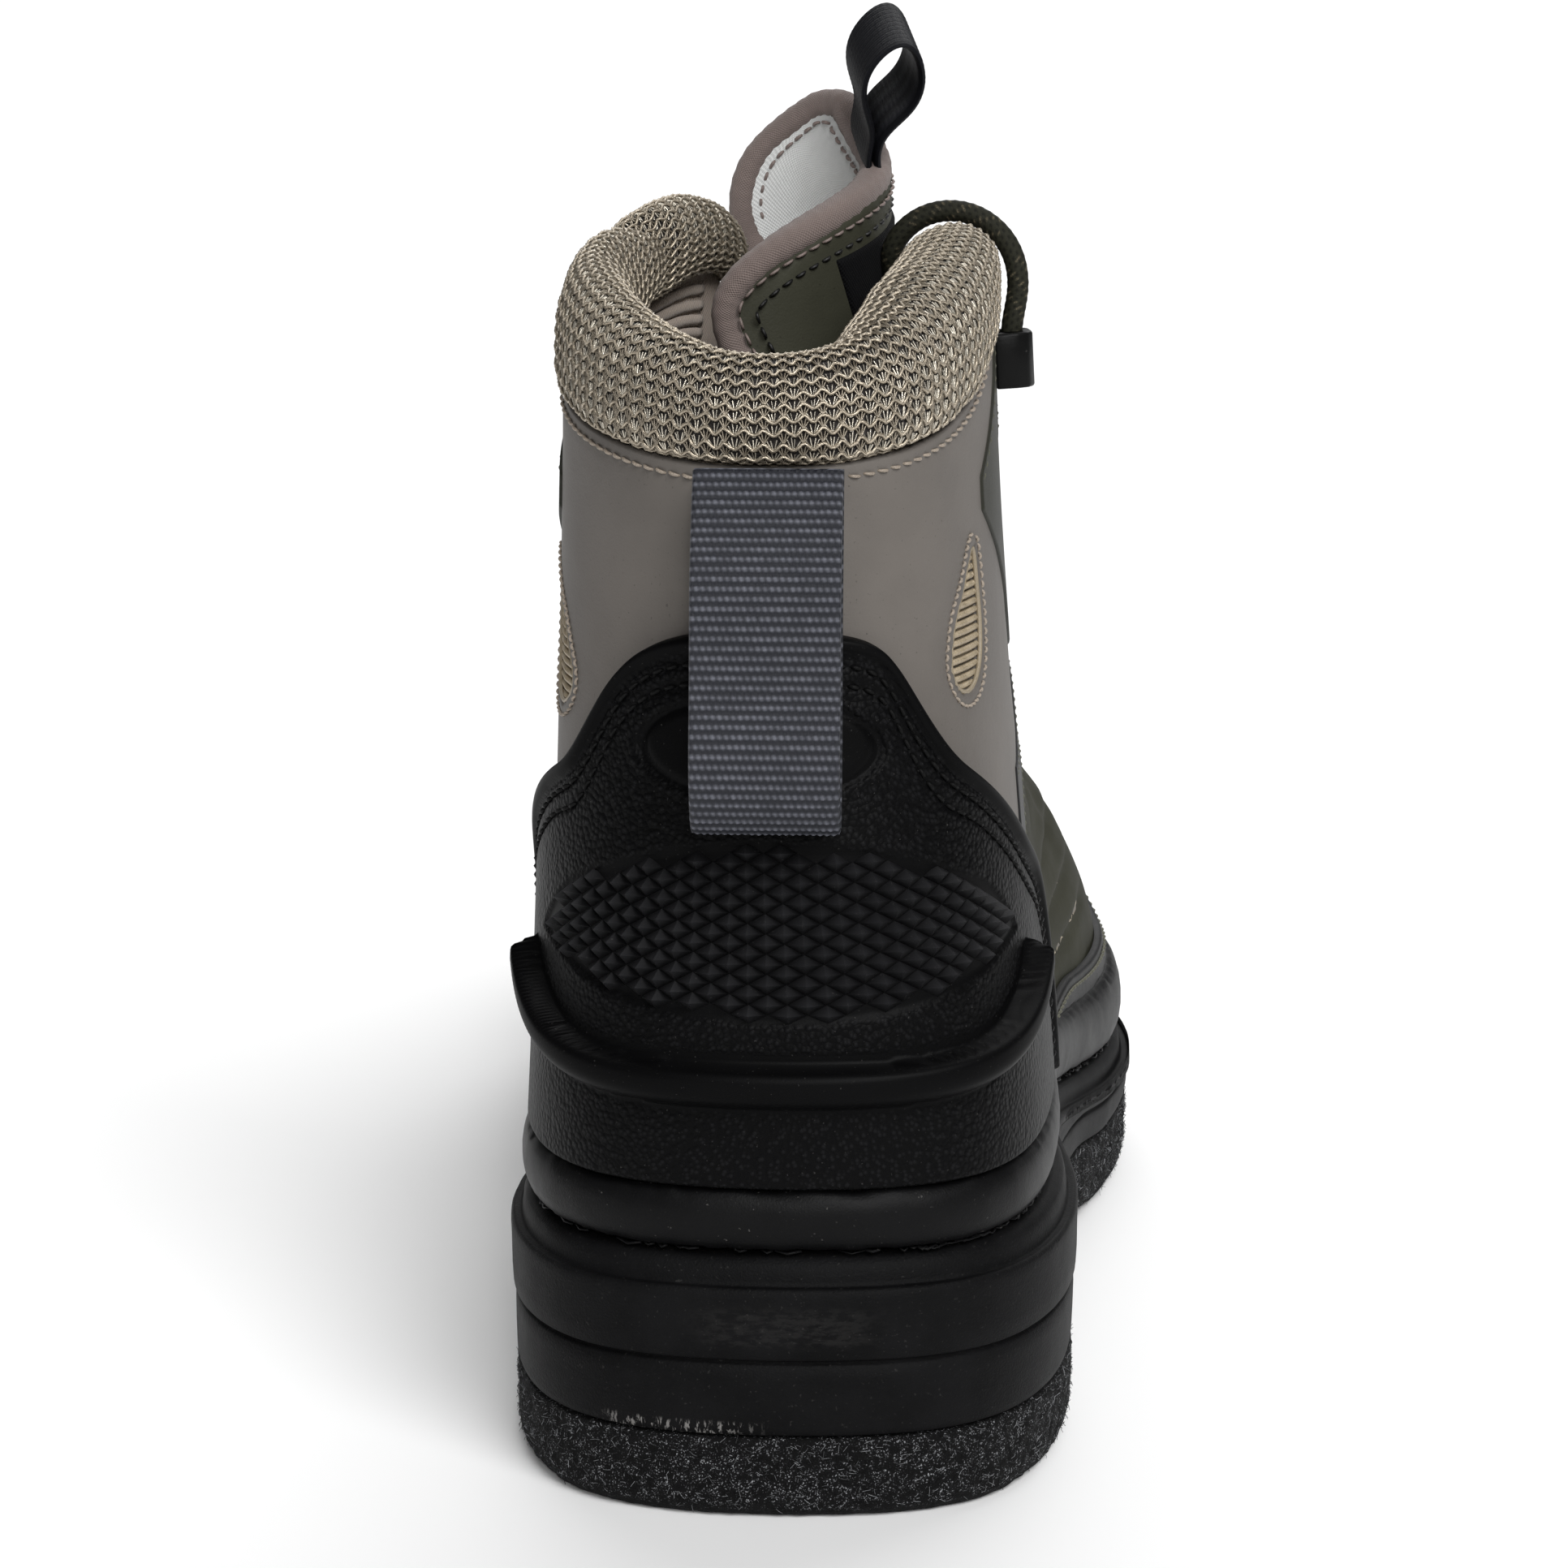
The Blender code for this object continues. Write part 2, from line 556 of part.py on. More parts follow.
def floor_middle():
    """Middle of the boot's box on the floor: side to side of the sole, strap to toe."""
    plan, _ = sole_edge(AROUND, np.zeros(COLUMNS))
    back = band_outline(STRAP_LINE, STRAP_THICKNESS)[:, 0].min()
    side = plan[:, 0].min() + plan[:, 0].max()
    return Vector((0.5 * side, 0.5 * (back + plan[:, 1].max()), 0.0))


ORIGIN = floor_middle()


def flat_piece(name, outline, width, frame, material):
    """Flat outline pushed out to its full width, in the plane that the frame gives."""
    curve = bpy.data.curves.new(name, "CURVE")
    curve.dimensions = "2D"
    curve.fill_mode = "BOTH"
    curve.extrude = width / 2 * MM
    line = curve.splines.new("POLY")
    line.points.add(len(outline) - 1)
    for point, (across, up) in zip(line.points, outline):
        point.co = (across * MM, up * MM, 0.0, 1.0)
    line.use_cyclic_u = True
    piece = place(name, curve, material)
    piece.matrix_world = frame
    return piece


def plane_frame(foot, across, up):
    """Frame with its own X and Y along the two directions, at a point of the heel frame."""
    x = Vector(across).normalized()
    z = x.cross(Vector(up)).normalized()
    y = z.cross(x)
    frame = Matrix((x, y, z)).transposed().to_4x4()
    frame.translation = (Vector(foot) - ORIGIN) * MM
    return frame


def make_rear_pull_strap(material):
    frame = plane_frame((STRAP_SIDE, 0.0, 0.0), (0, 1, 0), (0, 0, 1))
    outline = band_outline(STRAP_LINE, STRAP_THICKNESS)
    flat_piece("rear_pull_strap", outline, STRAP_WIDTH, frame, material)


def make_tongue_pull_loop(material):
    across = PULL_ALONG.cross(PULL_LEAN)
    frame = plane_frame(PULL_FOOT, across, across.cross(PULL_ALONG))
    outline = band_outline(PULL_LINE, PULL_THICKNESS)
    flat_piece("tongue_pull_loop", outline, PULL_WIDTH, frame, material)
    pocket = as_mesh(flat_piece("pull_loop_pocket", PULL_POCKET, PULL_WIDTH + 0.6, frame, material))
    move_to(pocket, "cutters")
    pocket.hide_render = True
    pocket.display_type = "WIRE"
    seam = bpy.data.objects["tongue"].modifiers.new("Pocket", "BOOLEAN")
    seam.operation = "DIFFERENCE"
    seam.solver = "EXACT"
    seam.object = pocket


def throat_spot(climb, lateral, setback):
    """Point and normal on the upper beside the throat, at a share of the climb up the shaft."""
    first, last = (WAIST_LATERAL, TOE_TIP) if lateral else (TOE_TIP, WAIST_MEDIAL)
    around = np.linspace(KNOTS[first], KNOTS[last], 400)
    height = INSTEP_HEIGHT + climb * (SHAFT_HEIGHT - INSTEP_HEIGHT)
    top = upper_points(around, np.array([1.0]))[:, 0]
    spot = around[[np.argmin(np.abs(top[:, 2] - height))]]
    ladder = np.linspace(1.0, 0.0, 300)
    column = upper_points(spot, ladder)[0]
    walk = np.concatenate([[0.0], np.cumsum(np.linalg.norm(np.diff(column, axis=0), axis=1))])
    up = np.interp(setback, walk, ladder)
    point, normal = upper_skin(spot, np.array([up]))
    return Vector(point[0, 0]), Vector(normal[0, 0])


def shaft_spot(lateral):
    """Point and normal on the side of the shaft, at the hook's height and distance from the heel."""
    around = np.linspace(0.0, 0.5, 400) if lateral else np.linspace(1.0, 0.5, 400)
    up = up_at_height(around, np.full(len(around), HOOK_HEIGHT))[:, None]
    point, normal = upper_skin(around, up)
    miss = np.abs(point[:, 0, 1] - HOOK_FROM_HEEL) + np.abs(point[:, 0, 2] - HOOK_HEIGHT)
    nearest = np.argmin(miss)
    return Vector(point[nearest, 0]), Vector(normal[nearest, 0])


def make_eyelet(name, spot, normal, material):
    bpy.ops.mesh.primitive_torus_add(major_radius=(EYELET_RADIUS - EYELET_WIRE) * MM,
                                     minor_radius=EYELET_WIRE * MM,
                                     major_segments=12, minor_segments=5)
    ring = bpy.context.object
    ring.name = name
    ring.data.name = name
    move_to(ring, "wading_boot")
    ring.data.materials.append(material)
    ring.data.shade_smooth()
    ring.rotation_mode = "QUATERNION"
    ring.rotation_quaternion = normal.to_track_quat("Z", "Y")
    ring.location = (spot + normal * (EYELET_WIRE + 2 * GAP) - ORIGIN) * MM


def tube(name, route, material, spacing):
    """Round cord along a smooth curve through the route's own points."""
    route = np.array([tuple(p) for p in route])
    knots = np.concatenate([[0.0], np.cumsum(np.linalg.norm(np.diff(route, axis=0), axis=1))])
    at = np.linspace(0.0, knots[-1], int(knots[-1] / spacing) + 2)
    curve = bpy.data.curves.new(name, "CURVE")
    curve.dimensions = "3D"
    curve.bevel_depth = LACE_RADIUS * MM
    curve.bevel_resolution = 2
    curve.use_fill_caps = True
    line = curve.splines.new("POLY")
    points = to_model(spline(knots, route, at))
    line.points.add(len(points) - 1)
    for point, place_at in zip(line.points, points):
        point.co = (*place_at, 1.0)
    return place(name, curve, material)


def as_mesh(piece):
    """Swap a curve object for a welded mesh object of the same name."""
    evaluated = piece.evaluated_get(bpy.context.evaluated_depsgraph_get())
    mesh = bpy.data.meshes.new_from_object(evaluated)
    work = bmesh.new()
    work.from_mesh(mesh)
    bmesh.ops.remove_doubles(work, verts=work.verts, dist=1e-6)
    bmesh.ops.recalc_face_normals(work, faces=work.faces)
    work.to_mesh(mesh)
    work.free()
    name = piece.name
    matrix = piece.matrix_world.copy()
    home = piece.users_collection[0]
    bpy.data.objects.remove(piece)
    solid = bpy.data.objects.new(name, mesh)
    solid.matrix_world = matrix
    home.objects.link(solid)
    return solid


def make_throat_fittings(ring_finish, lace_finish):
    """Ring eyelets in pairs, and the lace that zigzags over the throat between them."""
    sides = {}
    for side, lateral in (("lateral", True), ("medial", False)):
        sides[side] = [throat_spot(climb, lateral, EYELET_SETBACK) for climb in EYELET_CLIMBS]
        for number, (spot, normal) in enumerate(sides[side], 1):
            make_eyelet(f"eyelet_{side}_{number}", spot, normal, ring_finish)
    lift = 2 * EYELET_WIRE + 7 * GAP + LACE_RADIUS
    strands = []
    for name, start in (("lace_crossings", "lateral"), ("lace_second_strand", "medial")):
        route = []
        side = start
        for number in range(len(EYELET_CLIMBS)):
            spot, normal = sides[side][number]
            route.append(spot + normal * lift)
            side = "medial" if side == "lateral" else "lateral"
        if start == "lateral":
            spot, normal = sides["medial"][0]
            route.insert(0, spot + normal * lift)
        route = over_tongue(route)
        if start == "lateral":
            run = [Vector(p) for p in LACE_RUN[:2]]
            back = (run[0] - run[1]).normalized()
            meet = [run[0] + back * LACE_SPACING, run[0] + back * 2 * GAP]
            route += [(route[-1] + meet[0]) / 2 + LAST_CROSSING_RISE] + meet
        strands.append(tube(name, route, lace_finish, LACE_SPACING))
    first, second = (as_mesh(strand) for strand in strands)
    move_to(second, "cutters")
    second.hide_render = True
    second.display_type = "WIRE"
    union = first.modifiers.new("Join", "BOOLEAN")
    union.operation = "UNION"
    union.solver = "EXACT"
    union.object = second


def over_tongue(route):
    """Add a middle point to each crossing, raised over the tongue's crown."""
    raised = [route[0]]
    for here, there in zip(route, route[1:]):
        raised.append((here + there) / 2 + CROSSING_RISE)
        raised.append(there)
    return raised


def make_hooks(material):
    for side, lateral in (("lateral", True), ("medial", False)):
        spot, normal = shaft_spot(lateral)
        forward = Vector((0, 1, 0)) - normal * normal.y
        frame = plane_frame(spot + normal * 1.5 * GAP, normal, forward)
        flat_piece(f"hook_{side}", HOOK_OUTLINE, HOOK_WIDTH, frame, material)


def main():
    for piece in list(bpy.data.objects):
        bpy.data.objects.remove(piece)
    for name in ("wading_boot", "cutters"):
        bpy.context.scene.collection.children.link(bpy.data.collections.new(name))
    rubber = finish("black rubber", (0.012, 0.012, 0.013), 0.6)
    webbing_black = finish("black webbing", (0.010, 0.010, 0.012), 0.8)
    lace = finish("olive black lace", (0.020, 0.020, 0.014), 0.75)
    make_felt_outsole(finish("black felt", (0.015, 0.015, 0.016), 0.95))
    make_midsole(rubber)
    make_rand(finish("rand rubber", (0.014, 0.014, 0.015), 0.5))
    make_insole(finish("footbed foam", (0.06, 0.06, 0.06), 0.9))
    make_upper(finish("taupe synthetic leather", (0.17, 0.15, 0.125), 0.6))
    make_heel_counter(finish("moulded rubber", (0.012, 0.012, 0.013), 0.45))
    make_collar(finish("tan knit mesh", (0.30, 0.25, 0.18), 0.6))
    make_tongue(finish("olive synthetic leather", (0.055, 0.058, 0.040), 0.65))
    make_rear_pull_strap(finish("grey webbing", (0.10, 0.105, 0.115), 0.75))
    make_tongue_pull_loop(webbing_black)
    make_throat_fittings(finish("black eyelet", (0.02, 0.02, 0.02), 0.35), lace)
    make_hooks(finish("black hook", (0.008, 0.008, 0.008), 0.3))
    tube("lace_run", [Vector(p) for p in LACE_RUN], lace, RUN_SPACING)


main()
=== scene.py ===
"""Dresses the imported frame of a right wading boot: felt, rubber, leather, knit, webbing and lace.

Sizes are millimetres in a heel frame, X to the lateral side, Y from heel to toe, Z up, with the back
of the sole at Y = 0 on the floor. Points turn into metres in the frame's own axes as meshes are made.
"""
import math
from collections import namedtuple

import bpy
import numpy as np
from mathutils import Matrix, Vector


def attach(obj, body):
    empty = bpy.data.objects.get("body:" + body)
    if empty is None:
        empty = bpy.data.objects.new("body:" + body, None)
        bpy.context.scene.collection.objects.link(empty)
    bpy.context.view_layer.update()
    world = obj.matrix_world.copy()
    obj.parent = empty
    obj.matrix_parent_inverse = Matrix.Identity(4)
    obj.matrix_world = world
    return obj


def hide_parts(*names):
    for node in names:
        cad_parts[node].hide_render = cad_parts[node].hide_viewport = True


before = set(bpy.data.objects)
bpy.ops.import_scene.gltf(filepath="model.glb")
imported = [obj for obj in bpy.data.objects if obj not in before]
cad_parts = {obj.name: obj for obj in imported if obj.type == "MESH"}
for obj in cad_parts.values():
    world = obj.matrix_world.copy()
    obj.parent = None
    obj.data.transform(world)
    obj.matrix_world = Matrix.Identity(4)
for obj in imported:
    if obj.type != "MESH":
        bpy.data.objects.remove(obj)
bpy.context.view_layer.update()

bl_info = {
    "name": "Wading Boot",
    "version": (1, 0, 0),
    "blender": (4, 5, 0),
    "location": "3D View > Sidebar > Boot",
    "description": "Makes the visible pieces of a felt-soled wading boot round its packed frame",
    "category": "Object",
}

MM = 0.001
GAP = 0.3
BODY = "root"
FLOOR_MIDDLE = np.array((2.7487, 155.8901, 0.0))

# The last and the sole, as in the part's source
LENGTH = 318.0
BALL_WIDTH = 118.0
INSTEP_HEIGHT = 92.0
SHAFT_HEIGHT = 184.0
HEEL_HEIGHT = 42.5
BALL_HEIGHT = 26.0
FELT_THICKNESS = 13.2
TOE_SPRING = 9.0
ARCH_RISE = 3.0
UPPER_WALL = 2.6
INSOLE_CLEARANCE = 1.2
TOE_SPRING_FROM = 0.73
TOE_SPRING_POWER = 1.7
ARCH_FROM = 0.28
ARCH_TO = 0.55
ARCH_EASE = 0.09
DROP_FROM = 0.20
DROP_RUN = 0.42

# Stations round the boot from the back of the heel by the lateral side: the sole's edge as shares of the
# length and half width, inset of the upper's foot, place and climb of its top line, then the rise and
# flare of its foot and the run and slope of its top
Station = namedtuple("Station", "along side inset top_along top_side top_climb rise flare run slope")
STATIONS = (
    Station(0.000, 0.025, 5.3, 0.040, -0.02, 0.77, 40, 6.0, 45, 93),
    Station(0.027, 0.560, 5.6, 0.066, 0.33, 0.79, 40, 4.0, 45, 91),
    Station(0.125, 0.800, 7.0, 0.148, 0.515, 0.87, 38, -1.0, 45, 88),
    Station(0.310, 0.780, 4.5, 0.262, 0.51, 1.00, 42, 1.0, 60, 84),
    Station(0.475, 0.880, 5.0, 0.372, 0.36, 0.51, 38, 1.0, 30, 52),
    Station(0.630, 1.050, 5.5, 0.516, 0.30, 0.17, 36, 1.0, 24, 26),
    Station(0.835, 0.850, 5.5, 0.650, 0.23, 0.03, 34, 1.5, 26, 14),
    Station(0.958, 0.440, 5.5, 0.685, 0.09, 0.00, 33, 2.0, 42, 11),
    Station(1.000, -0.130, 5.5, 0.690, -0.04, 0.00, 32, 2.0, 48, 9),
    Station(0.958, -0.640, 5.5, 0.685, -0.17, 0.00, 33, 2.0, 42, 11),
    Station(0.850, -0.915, 5.5, 0.650, -0.30, 0.03, 34, 1.5, 26, 14),
    Station(0.705, -0.950, 5.5, 0.516, -0.37, 0.17, 36, 1.0, 24, 26),
    Station(0.525, -0.790, 5.0, 0.372, -0.395, 0.51, 40, 1.0, 30, 52),
    Station(0.345, -0.650, 4.0, 0.310, -0.265, 1.00, 44, 1.5, 60, 84),
    Station(0.130, -0.755, 5.3, 0.156, -0.60, 0.87, 40, -2.5, 45, 88),
    Station(0.027, -0.520, 5.6, 0.066, -0.37, 0.79, 40, 3.0, 45, 91),
)
WAIST_LATERAL = 3
TOE_TIP = 8
WAIST_MEDIAL = 13

# Side of the felt and of the midsole, bottom to top: share of the height, inset, rise above the share
FELT_SIDE = (
    (0.0, 34.0, 0.0), (0.0, 20.0, 0.0), (0.0, 9.0, 0.0), (0.0, 4.6, 0.02), (0.0, 3.3, 0.15),
    (0.0, 2.5, 0.5), (0.0, 1.9, 1.0), (0.0, 1.45, 1.8), (0.0, 1.15, 2.9), (0.0, 1.0, 4.2),
    (0.0, 0.95, 5.6), (0.0, 0.95, 7.0), (0.0, 0.95, 8.4), (0.0, 0.95, 9.8), (0.0, 0.95, 11.0),
    (1.0, 0.95, -0.9), (1.0, 1.2, -0.2), (1.0, 2.0, 0.05), (1.0, 9.0, 0.0), (1.0, 34.0, 0.0),
)
MIDSOLE_SIDE = (
    (0.0, 34.0, 0.05), (0.0, 12.0, 0.05), (0.0, 2.0, 0.05), (0.0, 1.1, 0.5), (0.0, 0.85, 1.6),
    (0.2, 0.7, 0.0), (0.32, 0.65, 0.0), (0.42, 0.7, -0.55), (0.42, 1.05, -0.25), (0.42, 1.55, 0.0),
    (0.42, 1.5, 0.3), (0.42, 0.75, 0.5), (0.42, 0.3, 0.85), (0.55, 0.15, 0.0), (0.7, 0.1, 0.0),
    (1.0, 0.05, -6.6), (1.0, 0.1, -5.4), (1.0, 0.45, -4.85), (1.0, 1.0, -4.7), (1.0, 1.5, -4.85),
    (1.0, 1.85, -4.6), (1.0, 2.0, -3.9), (1.0, 2.15, -2.6), (1.0, 2.6, -1.5), (1.0, 3.3, -0.8),
    (1.0, 4.3, -0.35), (1.0, 12.0, -0.3), (1.0, 34.0, -0.3),
)
RAND_HEIGHT = ((0.0, 9.6), (0.30, 10.5), (0.62, 13.5), (0.85, 17.0), (1.0, 24.0))
RAND_THICKNESS = 3.0
RAND_CLEARANCE = 0.4
RAND_SECTION = ((0.0, 0.0), (0.5, 0.0), (1.0, 0.0), (1.02, 0.12), (1.0, 0.3), (0.94, 0.55), (0.84, 0.8),
                (0.68, 0.96), (0.5, 1.0), (0.33, 0.97), (0.19, 0.86), (0.09, 0.68), (0.03, 0.42), (0.0, 0.2))

# Side of the footbed, bottom to top: inset from the upper's wall and lift from the midsole
FOOTBED_SIDE = ((8.0, 0.0), (0.3, 0.0), (0.0, 0.4), (0.0, 3.6), (0.3, 3.9), (0.9, 4.0), (3.5, 3.2),
                (9.0, 2.7), (20.0, 2.6))

# Heel counter by distance round from the back of the heel
COUNTER_TOP = ((-100, 54.0), (-92, 72.0), (-82, 89.0), (-74, 98.5), (-66, 105.0), (-58, 110.0), (-50, 114.0),
               (-44, 117.2), (-40, 121.5), (-34, 129.0), (-28, 133.9), (-20, 136.8), (0, 137.6),
               (19, 136.8), (25, 133.6), (30, 126.4), (35, 119.6), (42, 114.5), (50, 109.7), (58, 104.5),
               (66, 99.5), (74, 95.0), (82, 87.5), (92, 71.5), (100, 54.0))
COUNTER_REACH = 99.0
COUNTER_THICKNESS = 2.4
COUNTER_LEAST = 3.0
LEDGE_BACK = 70.0
LEDGE_CLIMB = 12.5
LEDGE_BEND = 4
LEDGE_REACH = 58.0
LEDGE_HALF_HEIGHT = 3.4
LEDGE_PROUD = 4.4
RIM_WIDTH = 2.6
RIM_PROUD = 0.9
SEAM_ROWS = (4.6, 7.6)
BADGE_MIDDLE = (-2.3, 120.4)
BADGE_HALF = (23.2, 7.7)
STUD_PITCH = (3.05, 1.52)
STUD_MIDDLE = (-1.0, 88.0)
STUD_HEIGHT = 2.0
STUD_FIELD_TOP = ((0, 106.0), (18, 104.3), (32, 100.5), (44, 95.5), (52, 88.5))
STUD_FIELD_FOOT = ((0, 79.0), (23, 81.2), (36, 84.2), (46, 87.0), (52, 88.5))

# Padded roll on the top line: reach from the heel, height and thickness, and its section
Roll = namedtuple("Roll", "reach height thickness")
COLLAR_ROLL = (Roll(-114.0, 9.5, 7.5), Roll(-95.0, 12.5, 8.8), Roll(-75.0, 15.5, 10.0),
               Roll(-50.0, 19.0, 12.0), Roll(-25.0, 17.3, 14.0), Roll(0.0, 15.2, 15.0),
               Roll(25.0, 17.3, 17.5), Roll(50.0, 18.6, 19.0), Roll(75.0, 11.0, 15.0), Roll(92.0, 6.0, 9.5))
COLLAR_SECTION = ((0.0, 0.0), (0.07, 0.28), (0.04, 0.58), (-0.12, 0.86), (-0.40, 1.0), (-0.68, 0.94),
                  (-0.90, 0.74), (-1.0, 0.45), (-0.95, 0.15), (-0.76, -0.06), (-0.52, -0.10), (-0.28, 0.0))
# Crease across the medial end of the roll
PINCH_REACH = -74.0
PINCH_WIDTH = 4.0
PINCH_DEPTH = 0.16

# Tongue from its seam to its free top: middle of the outer face, reach of each wing along the arc, radius
# of the curl, and twist to the medial side in degrees
Fold = namedtuple("Fold", "x y z lateral medial radius twist")
TONGUE_FOLDS = (
    Fold(-2.0, 236.0, 79.0, 15.0, 15.0, 44.0, 0),
    Fold(-2.0, 208.0, 86.5, 23.0, 23.0, 36.0, 0),
    Fold(-2.0, 165.0, 101.5, 27.0, 27.0, 32.0, 0),
    Fold(-0.5, 124.0, 129.0, 29.0, 20.0, 26.0, 8),
    Fold(6.0, 104.0, 157.0, 36.0, 19.0, 26.0, 46),
    Fold(13.5, 97.0, 178.0, 49.5, 33.0, 27.0, 74),
    Fold(15.0, 95.5, 192.0, 42.0, 38.0, 27.0, 78),
    Fold(15.0, 95.5, 202.0, 16.0, 37.0, 27.0, 78),
    Fold(15.0, 95.5, 209.0, -4.5, 31.0, 27.0, 78),
    Fold(15.0, 95.5, 215.5, -12.0, 20.0, 27.0, 78),
)
TONGUE_THICKNESS = 5.0

# Webbing loop at the heel, with the middle line of its band in side view
STRAP_WIDTH = 22.5
STRAP_THICKNESS = 1.5
STRAP_SIDE = -0.5
STRAP_LINE = ((9.6, 163.0), (6.4, 147.5), (4.5, 129.5), (3.2, 115.5), (-0.6, 110.1), (-4.5, 115.0),
              (-3.9, 129.5), (-1.4, 147.5), (6.6, 163.0))
# Ribbon loop on the tongue, with the middle line of its band across and up from its foot
PULL_FOOT = (11.0, 91.5, 207.8)
PULL_WIDTH = 17.0
PULL_THICKNESS = 1.2
PULL_LINE = ((1.5, -4.0), (-0.3, -0.3), (-0.9, 4.2), (-3.7, 10.0), (-3.9, 16.5), (0.3, 21.0), (4.4, 16.5),
             (4.0, 10.0), (0.9, 4.2), (1.2, -0.3), (3.0, -4.0))
PULL_ALONG = (-0.19, 0.90, 0.39)
PULL_LEAN = (0.17, 0.0, 0.98)

# Lace, eyelets and hooks
LACE_RADIUS = 1.8
EYELET_SETBACK = 8.0
EYELET_CLIMBS = (0.03, 0.17, 0.36, 0.52)
EYELET_PROFILE = ((1.95, -0.9), (1.95, 0.4), (2.05, 1.2), (2.35, 1.75), (2.8, 1.95), (3.3, 1.8), (3.75, 1.4),
                  (4.05, 0.8), (4.2, 0.15), (4.2, -0.1))
HOOK_WIDTH = 9.0
HOOK_HEIGHT = 173.0
HOOK_FROM_HEEL = 76.0
# Plan of a hook: out from the shaft and forward from its middle, with the closed bend to the heel
HOOK_OUTLINE = ((0.0, -5.0), (3.6, -5.0), (5.6, -4.2), (6.6, -2.4), (6.7, 0.5), (6.7, 3.2), (6.2, 4.3),
                (5.8, 4.2), (5.5, 3.0), (5.5, -1.6), (4.8, -2.7), (3.4, -3.2), (0.9, -3.2), (0.8, 5.0),
                (0.0, 5.0))
RIVET_PROFILE = ((2.1, 0.5), (1.95, 1.0), (1.5, 1.5), (0.8, 1.82), (0.02, 1.9))
LACE_RUN = ((19.0, 102.0, 163.0), (19.0, 91.0, 174.5), (16.8, 82.5, 185.0), (16.2, 79.5, 190.6),
            (20.6, 78.5, 195.8), (29.5, 78.0, 196.4), (35.5, 77.2, 191.0), (36.8, 76.8, 184.5),
            (36.0, 76.5, 179.0), (35.9, 76.4, 172.8))

# Panels of the upper: lifts from the last's outer face, share of the way up where they end, height of their
# foot above the sole, and where they start and end by distance from the heel
BASE_LIFT = -1.3
VAMP_LIFT = -0.25
PANEL_LIFT = 0.0
STRAP_LIFT = 0.35
WING_LIFT = 0.42
EYESTAY_LIFT = 0.55
GUARD_LIFT = 1.2
PANEL_TOP = 0.9995
PANEL_FOOT = 4.0
QUARTER_REACH = 118.0
VAMP_REACH = 112.0
EYESTAY_REACH = (96.0, 94.0)
GUARD_REACH = (150.0, 138.0)
ANKLE_REACH = (88.0, 150.0)
WING_REACH = (66.0, 112.0)
# Folds along the sides of the vamp, by height where the vamp starts, and their climb toward the toe
FOLD_HEIGHTS = (48.0, 57.0, 67.0, 79.0)
FOLD_CLIMB = 0.07
FOLD_END = 240.0

# Stitches: pitch, thread and share of the pitch that shows
Stitch = namedtuple("Stitch", "pitch thread fill")
QUARTER_STITCH = Stitch(2.5, 0.54, 0.8)
WINDOW_STITCH = Stitch(1.5, 0.5, 0.8)
COUNTER_STITCH = Stitch(2.6, 0.7, 0.74)
FRONT_STITCH = Stitch(2.6, 0.5, 0.74)
GUARD_STITCH = Stitch(2.8, 0.65, 0.74)
WING_STITCH = Stitch(2.7, 0.6, 0.7)
LABEL_STITCH = Stitch(2.3, 0.6, 0.7)
BINDING_STITCH = Stitch(2.7, 0.5, 0.75)

# Collar knit: radius of the zigzag yarn, of the ties and of the clear threads
YARN_RADIUS = 0.28
TIE_RADIUS = 0.21
CLEAR_RADIUS = 0.17

# Weave of the heel strap and of the ribbon: pitch of the rows and of the yarns across, and relief
STRAP_ROW = 1.46
STRAP_YARN = 1.02
STRAP_RELIEF = 0.4
RIBBON_ROW = 0.9
RIBBON_YARN = 0.8
RIBBON_RELIEF = 0.12

# Outlines of the quarter's windows, by reach from the heel and height
WINDOW_LATERAL = ((59.0, 147.0), (53.0, 141.5), (48.0, 136.7), (45.4, 132.2), (45.0, 128.8), (48.2, 126.0),
                  (54.0, 126.4), (59.0, 130.2), (60.8, 136.0), (60.6, 141.6))
WINDOW_MEDIAL = ((-72.0, 143.5), (-65.0, 139.0), (-59.5, 135.0), (-55.5, 130.5), (-53.0, 126.8),
                 (-55.5, 123.6), (-61.0, 122.4), (-67.0, 124.5), (-70.5, 130.0), (-72.0, 137.0))

# Camera in the heel frame, turned left and tilted down in degrees, with its lens in millimetres
CAMERA_AT = (31.40, -599.18, 239.0)
CAMERA_YAW = 2.791
CAMERA_PITCH = 11.5
CAMERA_LENS = 94.16
CAMERA_SENSOR = 36.0
# Lamps: where each stands, its spread in degrees and its share of the key light
Lamp = namedtuple("Lamp", "name toward spread share")
LAMPS = (Lamp("key_softbox", (0.55, -1.0, 1.1), 34.0, 1.0),
         Lamp("front_softbox", (0.1, 1.0, 1.1), 60.0, 0.70),
         Lamp("camera_lamp", (0.1, -1.0, 0.45), 10.0, 0.32))
FLOOR_RINGS = (0.02, 0.6, 3.0, 40.0)


def smooth(value):
    """Ease from 0 to 1 without corners."""
    t = np.clip(value, 0.0, 1.0)
    return t * t * (3.0 - 2.0 * t)


def hump(value, middle, width):
    """Smooth hump of height 1 round a middle."""
    return np.exp(-((value - middle) / width) ** 2)


def unit(vectors):
    return vectors / np.linalg.norm(vectors, axis=-1, keepdims=True)


def walked(points):
    """Distance walked along a line of points."""
    return np.concatenate([[0.0], np.cumsum(np.linalg.norm(np.diff(points, axis=0), axis=1))])


def read_off(line, walk, at):
    """Values along a line of points, read at distances walked."""
    return np.stack([np.interp(at, walk, line[:, a]) for a in range(3)], axis=-1)


def walked_across(grid):
    """Distance walked along each row of a grid of points."""
    return np.cumsum(np.linalg.norm(np.diff(grid, axis=1, prepend=grid[:, :1]), axis=-1), axis=1)


